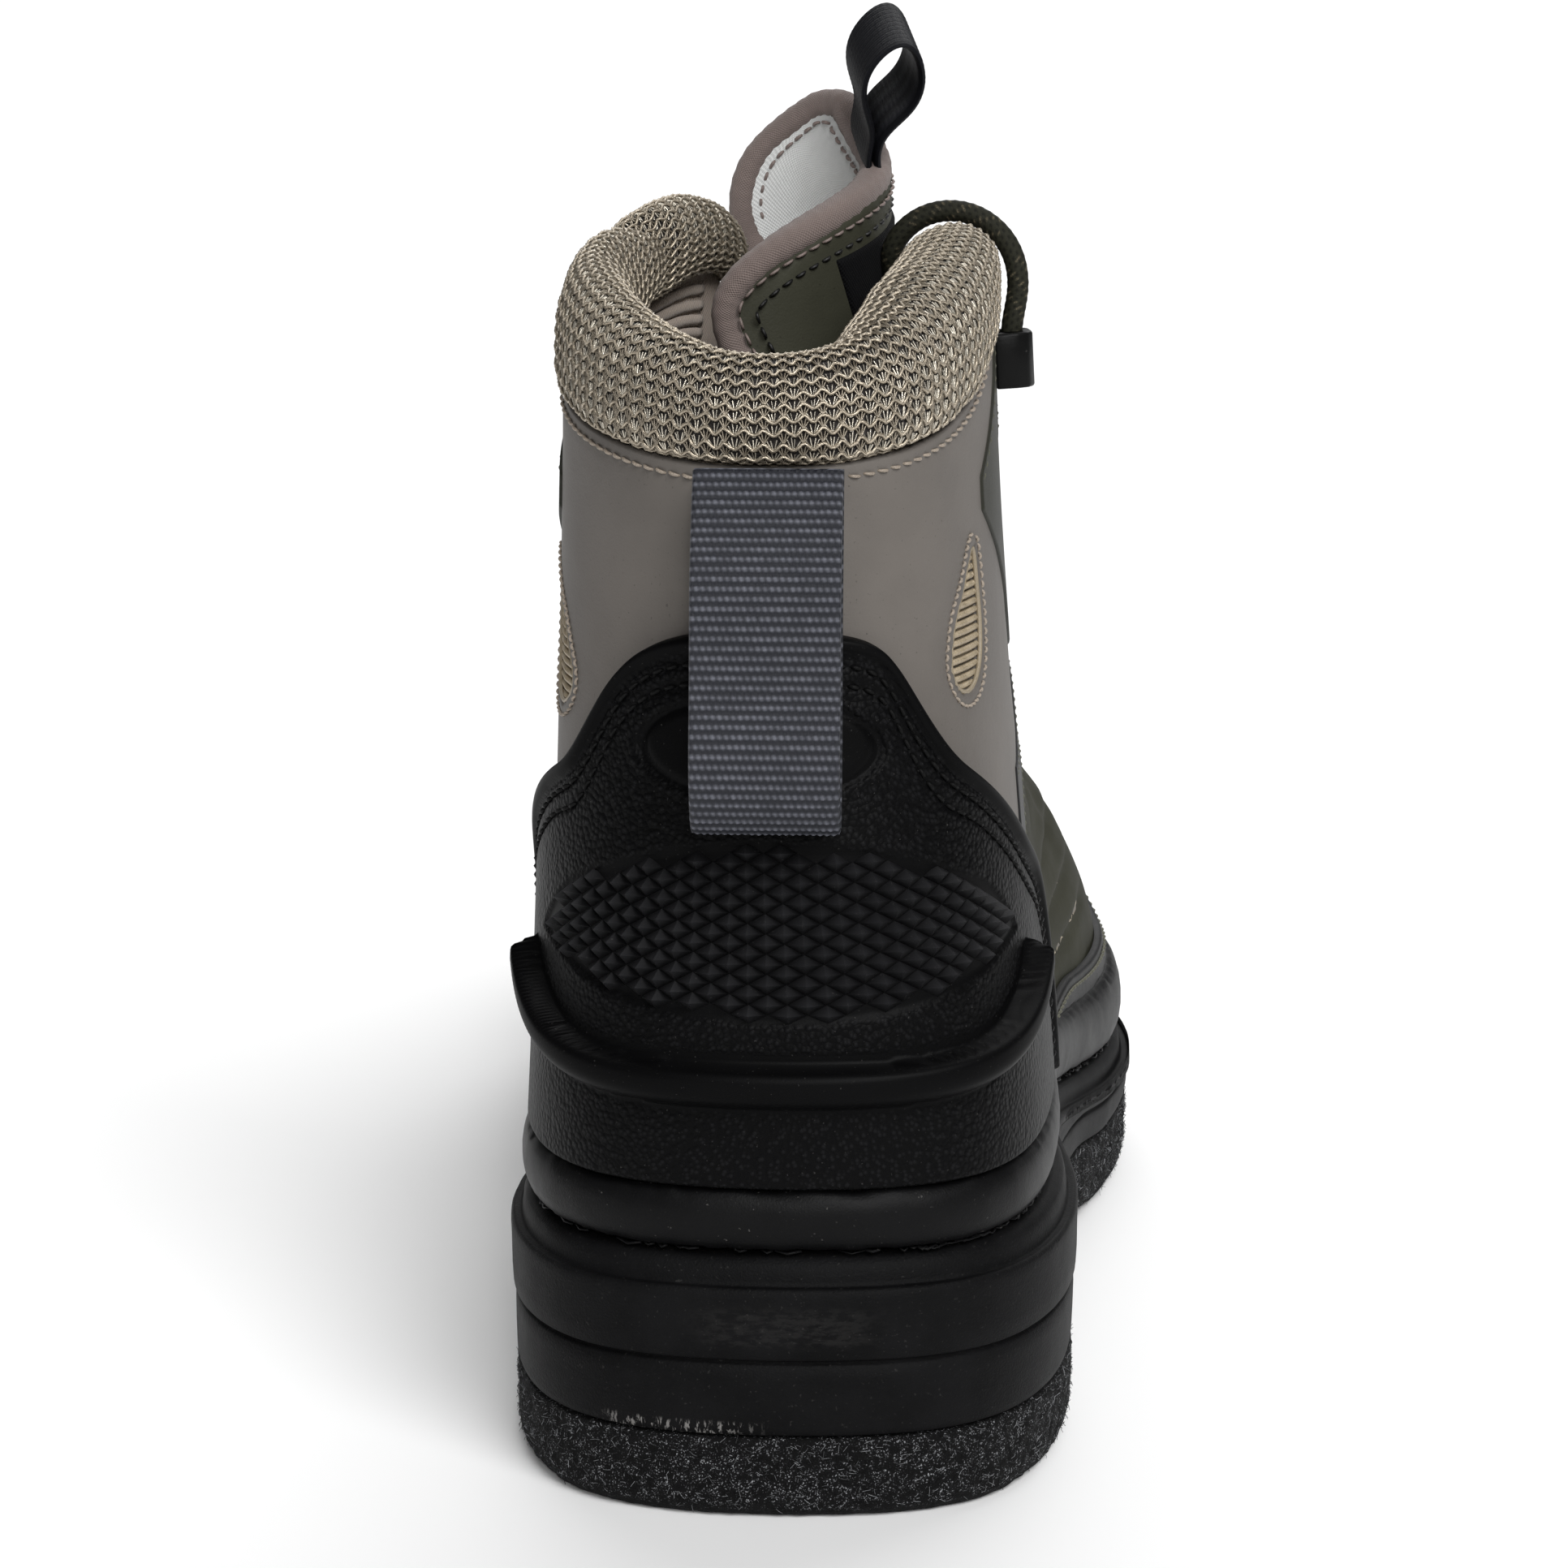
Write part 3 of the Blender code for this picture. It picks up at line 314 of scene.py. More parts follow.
def spline(knots, values, at, period=None):
    """Cubic curve through the values at the knots, closed when a period is given."""
    knots = np.asarray(knots, float)
    values = np.asarray(values, float)
    if period:
        knots = np.append(knots, knots[0] + period)
        values = np.concatenate([values, values[:1]])
    count = len(knots)
    steps = np.diff(knots)
    slopes = np.diff(values, axis=0) / steps.reshape((-1,) + (1,) * (values.ndim - 1))
    system = np.zeros((count, count))
    right = np.zeros(values.shape)
    for i in range(1, count - 1):
        system[i, i - 1] = steps[i]
        system[i, i] = 2 * (steps[i - 1] + steps[i])
        system[i, i + 1] = steps[i - 1]
        right[i] = 3 * (steps[i] * slopes[i - 1] + steps[i - 1] * slopes[i])
    if period:
        system[0, 0] = 2 * (steps[-1] + steps[0])
        system[0, 1] = steps[-1]
        system[0, -2] = steps[0]
        right[0] = 3 * (steps[0] * slopes[-1] + steps[-1] * slopes[0])
        system[-1, -1] = 1
        system[-1, 0] = -1
    else:
        system[0, :2] = (2, 1)
        right[0] = 3 * slopes[0]
        system[-1, -2:] = (1, 2)
        right[-1] = 3 * slopes[-1]
    tangents = np.linalg.solve(system, right.reshape(count, -1)).reshape(values.shape)
    at = np.asarray(at, float)
    if period:
        at = knots[0] + np.mod(at - knots[0], period)
    cell = np.clip(np.searchsorted(knots, at, side="right") - 1, 0, count - 2)
    shape = cell.shape + (1,) * (values.ndim - 1)
    h = steps[cell].reshape(shape)
    t = ((at - knots[cell]) / steps[cell]).reshape(shape)
    start = values[cell] * (1 + 2 * t) * (1 - t) ** 2 + tangents[cell] * h * t * (1 - t) ** 2
    end = values[cell + 1] * t * t * (3 - 2 * t) - tangents[cell + 1] * h * t * t * (1 - t)
    return start + end


def smooth_line(points, spacing):
    """Evenly spaced points on a smooth curve through the given ones."""
    points = np.array([tuple(p) for p in points], float)
    knots = walked(points)
    return spline(knots, points, np.linspace(0.0, knots[-1], int(knots[-1] / spacing) + 2))


def table(rows, at):
    """Read a short two-column table smoothly."""
    knots, values = zip(*rows)
    return spline(knots, values, np.clip(at, knots[0], knots[-1]))


def grain(points, size, seed):
    """Smooth random values from -1 to 1 at points, in lumps of about the given size."""
    cells = np.asarray(points, float) / size
    corner = np.floor(cells).astype(np.int64)
    share = smooth(cells - corner)
    total = np.zeros(cells.shape[:-1])
    for step in np.ndindex(2, 2, 2):
        spot = corner + np.array(step)
        key = spot[..., 0] * 374761393 + spot[..., 1] * 668265263 + spot[..., 2] * 2147483629 + seed * 97531
        key = ((key ^ (key >> 13)) & 0xFFFFFFFF) * 1274126177
        key = (key ^ (key >> 16)) & 0xFFFF
        weight = np.prod(np.where(np.array(step) == 1, share, 1 - share), axis=-1)
        total += weight * (key / 32767.5 - 1.0)
    return total


def toe_spring(y):
    share = (y / LENGTH - TOE_SPRING_FROM) / (1.0 - TOE_SPRING_FROM)
    return TOE_SPRING * np.clip(share, 0.0, 1.0) ** TOE_SPRING_POWER


def sole_bottom(y):
    share = y / LENGTH
    arch = smooth((share - ARCH_FROM) / ARCH_EASE) * smooth((ARCH_TO - share) / ARCH_EASE)
    return ARCH_RISE * arch + toe_spring(y)


def sole_top(y):
    drop = smooth((y / LENGTH - DROP_FROM) / DROP_RUN)
    return HEEL_HEIGHT + (BALL_HEIGHT - HEEL_HEIGHT) * drop + toe_spring(y)


HALF_BALL = BALL_WIDTH / 2
EDGE = np.array([(s.side * HALF_BALL, s.along * LENGTH) for s in STATIONS])
CHORDS = np.linalg.norm(np.roll(EDGE, -1, axis=0) - EDGE, axis=1)
GIRTH = CHORDS.sum()
KNOTS = np.concatenate([[0.0], np.cumsum(CHORDS)[:-1]]) / GIRTH
SHAPES = np.array(STATIONS)


def sole_edge(around, inset):
    """Plan of the sole's edge, moved in by the inset, and the way out from it."""
    step = 1e-4
    ahead = spline(KNOTS, EDGE, around + step, 1.0)
    behind = spline(KNOTS, EDGE, around - step, 1.0)
    along = ahead - behind
    outward = unit(np.stack([along[:, 1], -along[:, 0]], axis=1))
    return 0.5 * (ahead + behind) - np.reshape(inset, (-1, 1)) * outward, outward


def upper_points(around, up):
    """Outer face of the upper: around runs round the boot, up from the sole to the top line."""
    shape = dict(zip(Station._fields, spline(KNOTS, SHAPES, around, 1.0).T))
    plan, outward = sole_edge(around, shape["inset"])
    foot = np.column_stack([plan, sole_top(plan[:, 1]) + GAP])
    climb = INSTEP_HEIGHT + shape["top_climb"] * (SHAFT_HEIGHT - INSTEP_HEIGHT)
    top = np.column_stack([shape["top_side"] * HALF_BALL, shape["top_along"] * LENGTH, climb])
    lead_out = np.column_stack([outward * shape["flare"][:, None], shape["rise"]])
    level = unit(plan - top[:, :2])
    slope = np.radians(shape["slope"])
    lead_in = np.column_stack([level * np.cos(slope)[:, None], -np.sin(slope)]) * shape["run"][:, None]
    t = np.broadcast_to(up, (len(around), np.shape(up)[-1]))[..., None]
    corners = [foot, foot + lead_out, top + lead_in, top]
    weights = [(1 - t) ** 3, 3 * t * (1 - t) ** 2, 3 * t * t * (1 - t), t ** 3]
    return sum(w * c[:, None, :] for w, c in zip(weights, corners))


def share_round(reach):
    """Share of the way round the boot at distances from the heel."""
    return np.mod(np.asarray(reach, float) / GIRTH, 1.0)


def upper_foot(around):
    """Line where the upper meets the sole."""
    return upper_points(around, np.array([0.0]))[:, 0]


def upper_skin(around, up, lift=0.0):
    """Points on the upper's outer face moved out by the lift, and the normals there."""
    step = 1e-3
    across = upper_points(around + step, up) - upper_points(around - step, up)
    rising = upper_points(around, np.add(up, step)) - upper_points(around, np.subtract(up, step))
    normal = unit(np.cross(across, rising))
    return upper_points(around, up) + np.asarray(lift)[..., None] * normal, normal


def skin_line(around, up, lift=0.0):
    """Points and normals along a line over the upper."""
    points, normals = upper_skin(around, up[:, None], np.broadcast_to(lift, up.shape)[:, None])
    return points[:, 0], normals[:, 0]


def up_at_height(around, height):
    """How far up the upper each column reaches the given height."""
    ladder = np.linspace(0.0, 1.0, 120)
    heights = upper_points(around, ladder)[..., 2]
    return np.array([np.interp(h, column, ladder) for h, column in zip(height, heights)])


def up_below_top(around, setback):
    """How far up the upper each column lies the given distance below the top line."""
    ladder = np.linspace(1.0, 0.0, 200)
    columns = upper_points(around, ladder)
    setback = np.broadcast_to(setback, len(around))
    return np.array([np.interp(s, walked(c), ladder) for s, c in zip(setback, columns)])


def on_upper(reach, height, lift):
    """Points and normals over the upper at distances round from the heel and at heights."""
    around = share_round(reach)
    return skin_line(around, up_at_height(around, np.broadcast_to(height, around.shape)), lift)


def to_model(points):
    """Heel frame in millimetres to the frame's own axes in metres."""
    return (np.reshape(points, (-1, 3)) - FLOOR_MIDDLE) * MM


def grid_quads(rows, across, closed=False, wrap=False):
    """Quads over a grid; closed joins the last row to the first, wrap each row's end to its start."""
    i = np.arange(rows if closed else rows - 1)[:, None]
    j = np.arange(across if wrap else across - 1)[None, :]
    near = i * across
    far = (i + 1) % rows * across
    k = (j + 1) % across
    return np.stack(np.broadcast_arrays(near + j, far + j, far + k, near + k), axis=-1).reshape(-1, 4)


def cap_quads(base, count):
    """Quads that close a ring with an even number of points."""
    j = np.arange(count // 2 - 1)
    return base + np.stack([j, j + 1, count - 2 - j, count - 1 - j], axis=1)


class Pattern:
    """Points and faces of one piece, gathered before its mesh is made.

    lay holds three numbers a point for the finish to read, such as places across a weave."""

    def __init__(self):
        self.points = []
        self.faces = []
        self.lay = []
        self.finish = []
        self.flat = []
        self.count = 0

    def add(self, points, faces, lay=(0.0, 0.0, 0.0), finish=0, flat=False):
        points = np.reshape(points, (-1, 3))
        self.points.append(points)
        self.faces.append(np.asarray(faces) + self.count)
        self.lay.append(np.broadcast_to(np.reshape(lay, (-1, 3)), points.shape))
        self.finish.append(np.full(len(faces), finish))
        self.flat.append(np.full(len(faces), flat))
        self.count += len(points)

    def add_loft(self, sections, lay=(0.0, 0.0, 0.0), finish=0, closed=False, caps=True):
        """Skin over like closed sections, capped unless the run closes on itself."""
        runs, around = sections.shape[:2]
        faces = [grid_quads(runs, around, closed, wrap=True)]
        if caps and not closed:
            faces.append(cap_quads(0, around))
            faces.append(cap_quads((runs - 1) * around, around)[:, ::-1])
        self.add(sections, np.concatenate(faces), lay, finish)

    def add_strands(self, paths, radius, sides, out, lay=(0.0, 0.0, 0.0), finish=0, flatten=1.0):
        """Round strands along paths of equal length; out points away from what carries them."""
        paths = np.asarray(paths, float)
        count, length = paths.shape[:2]
        along = unit(np.gradient(paths, axis=1))
        side = unit(np.cross(along, np.broadcast_to(out, paths.shape)))
        lift = np.cross(side, along)
        turn = np.arange(sides) * 2 * math.pi / sides
        radius = np.broadcast_to(radius, (count, length))[..., None, None]
        ring = np.cos(turn)[:, None] * lift[:, :, None] * flatten - np.sin(turn)[:, None] * side[:, :, None]
        points = paths[:, :, None] + radius * ring
        faces = [grid_quads(length, sides, wrap=True)]
        if sides % 2 == 0:
            faces.append(cap_quads(0, sides))
            faces.append(cap_quads((length - 1) * sides, sides)[:, ::-1])
        faces = np.concatenate(faces)
        faces = (np.arange(count)[:, None, None] * length * sides + faces).reshape(-1, 4)
        lay = np.asarray(lay, float)
        if lay.ndim == 2:
            lay = np.repeat(lay, length * sides, axis=0)
        elif lay.ndim == 3:
            lay = np.repeat(lay.reshape(-1, 3), sides, axis=0)
        self.add(points, faces, lay, finish)

    def add_stitches(self, line, out, stitch, finish=0, slant=0.0):
        """Threads along a line over a surface, each diving in at both ends."""
        pitch, thread, fill = stitch
        walk = walked(line)
        starts = np.arange(int(walk[-1] / pitch)) * pitch + 0.5 * (1 - fill) * pitch
        spots = starts[:, None] + np.linspace(0.0, fill * pitch, 5)
        middle = read_off(line, walk, spots)
        normal = unit(read_off(out, walk, spots))
        side = unit(np.cross(np.gradient(middle, axis=1), normal))
        arch = np.array((-0.45, 0.25, 0.45, 0.25, -0.45)) * thread
        lean = np.linspace(-slant, slant, 5)
        paths = middle + arch[:, None] * normal + lean[:, None] * side
        radius = 0.5 * thread * np.array((0.75, 1.0, 1.05, 1.0, 0.75))
        self.add_strands(paths, radius, 6, normal, finish=finish)

    def make(self, name, finishes, replaces=()):
        """Make the mesh, put it on the boot's body and hide the solids it stands for."""
        mesh = bpy.data.meshes.new(name)
        faces = [face for block in self.faces for face in block.tolist()]
        mesh.from_pydata(to_model(np.concatenate(self.points)).tolist(), [], faces)
        lay = mesh.attributes.new("lay", "FLOAT_VECTOR", "POINT")
        lay.data.foreach_set("vector", np.concatenate(self.lay).astype(np.float32).ravel())
        for finish in finishes:
            mesh.materials.append(finish)
        mesh.polygons.foreach_set("material_index", np.concatenate(self.finish).astype(np.int32))
        mesh.polygons.foreach_set("use_smooth", ~np.concatenate(self.flat))
        mesh.update()
        return settle(bpy.data.objects.new(name, mesh), replaces)


def settle(piece, replaces=()):
    bpy.context.scene.collection.objects.link(piece)
    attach(piece, BODY)
    if replaces:
        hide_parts(*replaces)
    return piece


def edge_steps(length, edge, count):
    """Distances across panels of the given lengths, close together where the edges round over."""
    length = np.reshape(length, (-1, 1))
    edge = np.minimum(edge, 0.4 * length)
    near = edge * np.array((0.0, 0.07, 0.28, 0.6))
    inner = edge + (length - 2 * edge) * np.linspace(0.0, 1.0, count)
    return np.concatenate([near, inner, length - near[:, ::-1]], axis=1)


def rounded(distance, edge):
    """Height of a rounded-over edge, from 0 at the border to 1 inside it."""
    return np.sqrt(1.0 - (1.0 - np.clip(distance / edge, 0.0, 1.0)) ** 2)


def columns_between(first, last, count, edge):
    """Reaches across a panel from end to end, close together at both ends."""
    return first + np.sign(last - first) * edge_steps(abs(last - first), edge, count)[0]


class Panel:
    """Panel laid on the upper between a low and a high edge, with borders that round down to it."""

    def __init__(self, reach, low, high, rows, edge, heights=True):
        self.reach = np.asarray(reach, float)
        self.around = share_round(self.reach)
        self.edge = edge
        if heights:
            low = up_at_height(self.around, np.broadcast_to(low, self.reach.shape))
            high = up_at_height(self.around, np.broadcast_to(high, self.reach.shape))
        ladder = low[:, None] + (high - low)[:, None] * np.linspace(0.0, 1.0, 61)
        columns = upper_points(self.around, ladder)
        walks = np.array([walked(c) for c in columns])
        steps = edge_steps(walks[:, -1], edge, rows)
        self.up = np.array([np.interp(s, w, u) for s, w, u in zip(steps, walks, ladder)])
        self.from_low = steps
        self.from_high = walks[:, -1:] - steps
        self.skin = upper_points(self.around, self.up)
        middle = walked(self.skin[:, self.skin.shape[1] // 2])
        self.from_end = np.minimum(middle, middle[-1] - middle)[:, None]
        self.height = self.skin[..., 2]

    def add_to(self, pattern, base, top, shape=0.0, lay=None):
        """Add the panel: its face at the top lift plus the shape, its borders down at the base lift."""
        border = np.minimum(np.minimum(self.from_low, self.from_high), self.from_end)
        lift = base + (top - base) * rounded(border, self.edge) + shape * (border > 0)
        if lay is None:
            lay = np.stack(np.broadcast_arrays(self.reach[:, None], self.height, border), axis=-1)
        pattern.add(upper_skin(self.around, self.up, lift)[0], grid_quads(*lift.shape), lay)


class Value:
    """A socket of a finish; sums with numbers or other values add Math nodes."""

    def __init__(self, finish, socket):
        self.finish = finish
        self.socket = socket

    def math(self, operation, *values):
        return self.finish.node("ShaderNodeMath", {"operation": operation}, dict(enumerate(values)))

    def __add__(self, other):
        return self.math("ADD", self, other)

    __radd__ = __add__

    def __sub__(self, other):
        return self.math("SUBTRACT", self, other)

    def __rsub__(self, other):
        return self.math("SUBTRACT", other, self)

    def __mul__(self, other):
        return self.math("MULTIPLY", self, other)

    __rmul__ = __mul__

    def __truediv__(self, other):
        return self.math("DIVIDE", self, other)

    def sine(self):
        return self.math("SINE", self)

    def absolute(self):
        return self.math("ABSOLUTE", self)

    def least(self, other):
        return self.math("MINIMUM", self, other)

    def between(self, low, high):
        """0 at low and 1 at high, eased between them."""
        settings = {"interpolation_type": "SMOOTHSTEP"}
        inputs = {"Value": self, "From Min": low, "From Max": high}
        return self.finish.node("ShaderNodeMapRange", settings, inputs)


class Finish:
    """A procedural material in the making."""

    def __init__(self, name, **constants):
        self.material = bpy.data.materials.new(name)
        self.material.use_nodes = True
        self.tree = self.material.node_tree
        self.shader = self.tree.nodes["Principled BSDF"]
        for socket, value in constants.items():
            self.shader.inputs[socket.replace("_", " ")].default_value = value

    def node(self, kind, settings=None, inputs=None, out=0):
        """Any node: its settings first, then the values or links of its sockets."""
        made = self.tree.nodes.new(kind)
        for key, value in (settings or {}).items():
            setattr(made, key, value)
        for key, value in (inputs or {}).items():
            self.feed(made.inputs[key], value)
        return Value(self, made.outputs[out])

    def feed(self, socket, value):
        if isinstance(value, Value):
            self.tree.links.new(value.socket, socket)
        elif socket.type == "RGBA":
            socket.default_value = (*value, 1.0)
        else:
            socket.default_value = value

    def places(self):
        return self.node("ShaderNodeTexCoord", None, None, "Object")

    def lay(self):
        """The three numbers that a piece's points carry."""
        vector = self.node("ShaderNodeAttribute", {"attribute_name": "lay"}, None, "Vector")
        return [self.node("ShaderNodeSeparateXYZ", None, {0: vector}, axis) for axis in range(3)]

    def stretched(self, x, y, z):
        return self.node("ShaderNodeVectorMath", {"operation": "MULTIPLY"}, {0: self.places(), 1: (x, y, z)})

    def noise(self, size, detail=2.0, rough=0.5, at=None):
        """Cloudy noise with lumps of a size in millimetres."""
        inputs = {"Vector": at or self.places(), "Scale": 1.0 / (size * MM), "Detail": detail,
                  "Roughness": rough}
        return self.node("ShaderNodeTexNoise", None, inputs)

    def pebbles(self, size):
        """Distance from the nearest pebble's middle, for pebbles of a size in millimetres."""
        return self.node("ShaderNodeTexVoronoi", None, {"Vector": self.places(), "Scale": 1.0 / (size * MM)})

    def mix(self, share, low, high):
        return self.node("ShaderNodeMix", {"data_type": "RGBA"}, {0: share, 6: low, 7: high}, 2)

    def tones(self, share, colour, low, high):
        """A darker to a lighter tone of one colour."""
        return self.mix(share, shade(colour, low), shade(colour, high))

    def colour(self, value):
        self.feed(self.shader.inputs["Base Color"], value)

    def roughness(self, value):
        self.feed(self.shader.inputs["Roughness"], value)

    def bump(self, height, depth):
        """Relief of a depth in millimetres."""
        inputs = {"Height": height, "Distance": depth * MM, "Strength": 1.0}
        self.feed(self.shader.inputs["Normal"], self.node("ShaderNodeBump", None, inputs))


def shade(colour, factor):
    """A darker or lighter tone of a colour."""
    return tuple(factor * c for c in colour)


def felt_finish(colours):
    finish = Finish("needled felt", Specular_IOR_Level=0.2)
    _, height, tone = finish.lay()
    lumps = finish.noise(1.6, 4.0, 0.7)
    flecks = finish.noise(0.28, 2.0, 0.6).between(0.56, 0.68) * height.between(0.9, 2.6)
    ground = finish.tones(lumps.between(0.4, 0.75), colours.felt, 0.3, 1.2)
    light = (flecks * lumps.between(0.42, 0.62) * 0.8 + tone).least(1.0)
    finish.colour(finish.mix(light, ground, colours.felt_fibre))
    finish.roughness(0.88 + 0.1 * lumps)
    finish.bump(finish.noise(0.5, 3.0, 0.7) + 0.7 * lumps, 0.5)
    return finish.material


def midsole_finish(colours):
    finish = Finish("moulded midsole rubber", Specular_IOR_Level=0.07)
    reach, height, _ = finish.lay()
    clouds = finish.noise(14.0, 4.0, 0.6)
    specks = finish.noise(0.6, 2.0, 0.5).between(0.66, 0.74)
    streaks = finish.noise(1.1, 4.0, 0.65, finish.stretched(0.5, 0.5, 1.4))
    strokes = finish.noise(1.0, 3.0, 0.6, finish.stretched(1.6, 1.6, 0.5))
    scuff_band = (1.0 - ((reach + 16.0) / 15.0).absolute()).between(0.0, 0.5)
    scuff_line = (1.0 - ((height - 14.6) / 1.7).absolute()).between(0.0, 0.6)
    scuffs = scuff_band * scuff_line * strokes.between(0.52, 0.62)
    rubbed_band = (1.0 - ((reach - 1.0) / 17.0).absolute()).between(0.0, 0.6)
    rubbed_line = (1.0 - ((height - 31.5) / 4.0).absolute()).between(0.0, 0.5)
    rubbed = rubbed_band * rubbed_line * streaks.between(0.42, 0.62)
    ground = finish.tones(clouds.between(0.3, 0.7), colours.rubber, 0.75, 1.5)
    ground = finish.mix((specks * 0.45 + rubbed * 0.25).least(1.0), ground, shade(colours.scuff, 0.12))
    finish.colour(finish.mix(scuffs * 0.6, ground, colours.scuff))
    finish.roughness(0.42 + 0.25 * clouds + 0.2 * rubbed)
    finish.bump(finish.noise(0.4, 3.0, 0.65) + 0.6 * streaks, 0.14)
    return finish.material


def rand_finish(colours):
    finish = Finish("satin rand rubber", Specular_IOR_Level=0.1)
    clouds = finish.noise(9.0, 3.0, 0.6)
    specks = finish.noise(0.7, 2.0, 0.5).between(0.7, 0.76)
    ground = finish.tones(clouds, colours.rubber, 0.7, 1.25)
    finish.colour(finish.mix(specks * 0.5, ground, shade(colours.scuff, 0.35)))
    finish.roughness(0.36 + 0.16 * clouds + 0.2 * specks)
    finish.bump(finish.noise(0.35, 3.0, 0.7) + 2.0 * clouds, 0.08)
    return finish.material


def counter_finish(colours):
    """Moulded rubber with a pebbled skin; lay z is 1 where the mould is smooth."""
    finish = Finish("pebbled counter rubber", Specular_IOR_Level=0.05)
    plain = finish.lay()[2]
    grit = finish.pebbles(0.9)
    # Painted highlight: each pebble's top is lighter, standing in for glints on the pebbles
    painted_pebble_glints = (1.0 - grit.between(0.12, 0.5)) * (1.0 - plain)
    clouds = finish.noise(16.0, 3.0, 0.5)
    dust = finish.noise(0.5, 2.0, 0.5).between(0.7, 0.77)
    ground = finish.tones(clouds, colours.rubber, 0.4, 0.8)
    ground = finish.mix(painted_pebble_glints * (0.6 + 0.4 * clouds), ground, shade(colours.rubber, 2.3))
    finish.colour(finish.mix(dust * 0.35, ground, shade(colours.scuff, 0.3)))
    finish.roughness(0.40 + 0.1 * clouds)
    finish.bump((1.0 - grit) * (1.0 - plain) + 0.12 * finish.noise(0.25, 2.0, 0.5), 0.2)
    return finish.material


def stud_finish(colours):
    """Crisp moulded rubber of the studs, paler toward the tip and the upper corner; lay z is 1 at the tip,
    0.45 at the upper corner and 0 at the other corners. The pale tip is partly rubbed wear and partly painted
    highlight; the paler upper facets are painted light from above.
    """
    finish = Finish("stud rubber", Specular_IOR_Level=0.2)
    rubbed = finish.lay()[2]
    clouds = finish.noise(7.0, 3.0, 0.5)
    dust = finish.noise(0.4, 2.0, 0.5).between(0.7, 0.77)
    # Painted light: tips and upper facets are lighter, partly rubbed wear and partly painted highlight from
    # above
    pale = rubbed * (0.55 + 0.45 * clouds)
    ground = finish.tones(pale, colours.rubber, 0.6, 6.0)
    finish.colour(finish.mix(dust * 0.35, ground, shade(colours.scuff, 0.35)))
    finish.roughness(0.32 + 0.14 * clouds)
    finish.bump(finish.noise(0.3, 2.0, 0.5), 0.04)
    return finish.material


def leather_finish(name, colour, rough, gloss=0.22):
    """Smooth coated leather with a fine grain, cloudy tone and rubbed edges."""
    finish = Finish(name, Specular_IOR_Level=gloss)
    border = finish.lay()[2]
    clouds = finish.noise(26.0, 4.0, 0.55)
    pores = finish.pebbles(0.55)
    fine = finish.noise(0.4, 3.0, 0.6)
    specks = finish.noise(0.5, 1.0, 0.4).between(0.73, 0.78)
    ground = finish.tones(clouds.between(0.25, 0.75), colour, 0.86, 1.12)
    ground = finish.mix(specks * 0.5, ground, shade(colour, 0.35))
    worn = 1.0 - border.between(0.0, 0.7)
    finish.colour(finish.mix(worn * 0.45, ground, shade(colour, 0.5)))
    finish.roughness(rough + 0.14 * clouds - 0.05 * fine)
    finish.bump(0.12 * pores + 0.6 * fine + 1.2 * finish.noise(5.0, 2.0, 0.5), 0.1)
    return finish.material


def yarn_finish(name, colour, rough=0.42, dark=0.35, gleam=0.0):
    """Thread or yarn; lay z is each strand's tone, below 1 toward a darker shade of the colour. On the
    collar's ties it is painted shade, and its random spread over the clear threads is painted sparkle.
    """
    finish = Finish(name, Specular_IOR_Level=0.9, Metallic=gleam)
    tone = finish.lay()[2]
    fibres = finish.noise(0.16, 2.0, 0.6)
    ground = finish.tones(fibres.between(0.3, 0.7), colour, 0.72, 1.15)
    finish.colour(finish.mix(1.0 - tone, ground, shade(colour, dark)))
    finish.roughness(rough + 0.15 * fibres)
    finish.bump(fibres, 0.06)
    return finish.material


def thread_finish(name, colour, gloss=0.5):
    finish = Finish(name, Specular_IOR_Level=gloss)
    fibres = finish.noise(0.2, 2.0, 0.6)
    finish.colour(finish.tones(fibres.between(0.3, 0.7), colour, 0.7, 1.2))
    finish.roughness(0.45 + 0.15 * fibres)
    finish.bump(fibres, 0.08)
    return finish.material


def webbing_finish(name, low, high, rough, gloss):
    """Woven tape; lay z is how far each spot of yarn stands out of the weave, and the colour runs from low
    where the yarn lies deep, painted shade between the yarns, to high where it stands out.
    """
    finish = Finish(name, Specular_IOR_Level=gloss)
    across, _, proud = finish.lay()
    fibres = finish.noise(0.22, 2.0, 0.6)
    # Painted shade: the colour darkens where the yarn lies low in the weave
    finish.colour(finish.mix((proud.between(0.1, 0.95) * (0.7 + 0.6 * fibres)).least(1.0), low, high))
    finish.roughness(rough + 0.2 * fibres)
    finish.bump(fibres + 0.2 * (across * 40.0).sine(), 0.07)
    return finish.material


def lining_finish(name, colour):
    """Fine ribbed lining cloth; lay x runs along the ribs' row and lay y across it."""
    finish = Finish(name, Sheen_Weight=0.2)
    along, across, _ = finish.lay()
    ribs = (along * (2 * math.pi / 0.55)).sine() * 0.5 + 0.5
    rows = (across * (2 * math.pi / 2.1)).sine() * 0.5 + 0.5
    fibres = finish.noise(0.3, 2.0, 0.6)
    light = (rows.between(0.05, 0.5) * (0.55 + 0.45 * ribs)).least(1.0)
    finish.colour(finish.mix(light * (0.75 + 0.5 * fibres), shade(colour, 0.25), colour))
    finish.roughness(0.7 + 0.15 * fibres)
    finish.bump(rows + 0.3 * ribs, 0.35)
    return finish.material


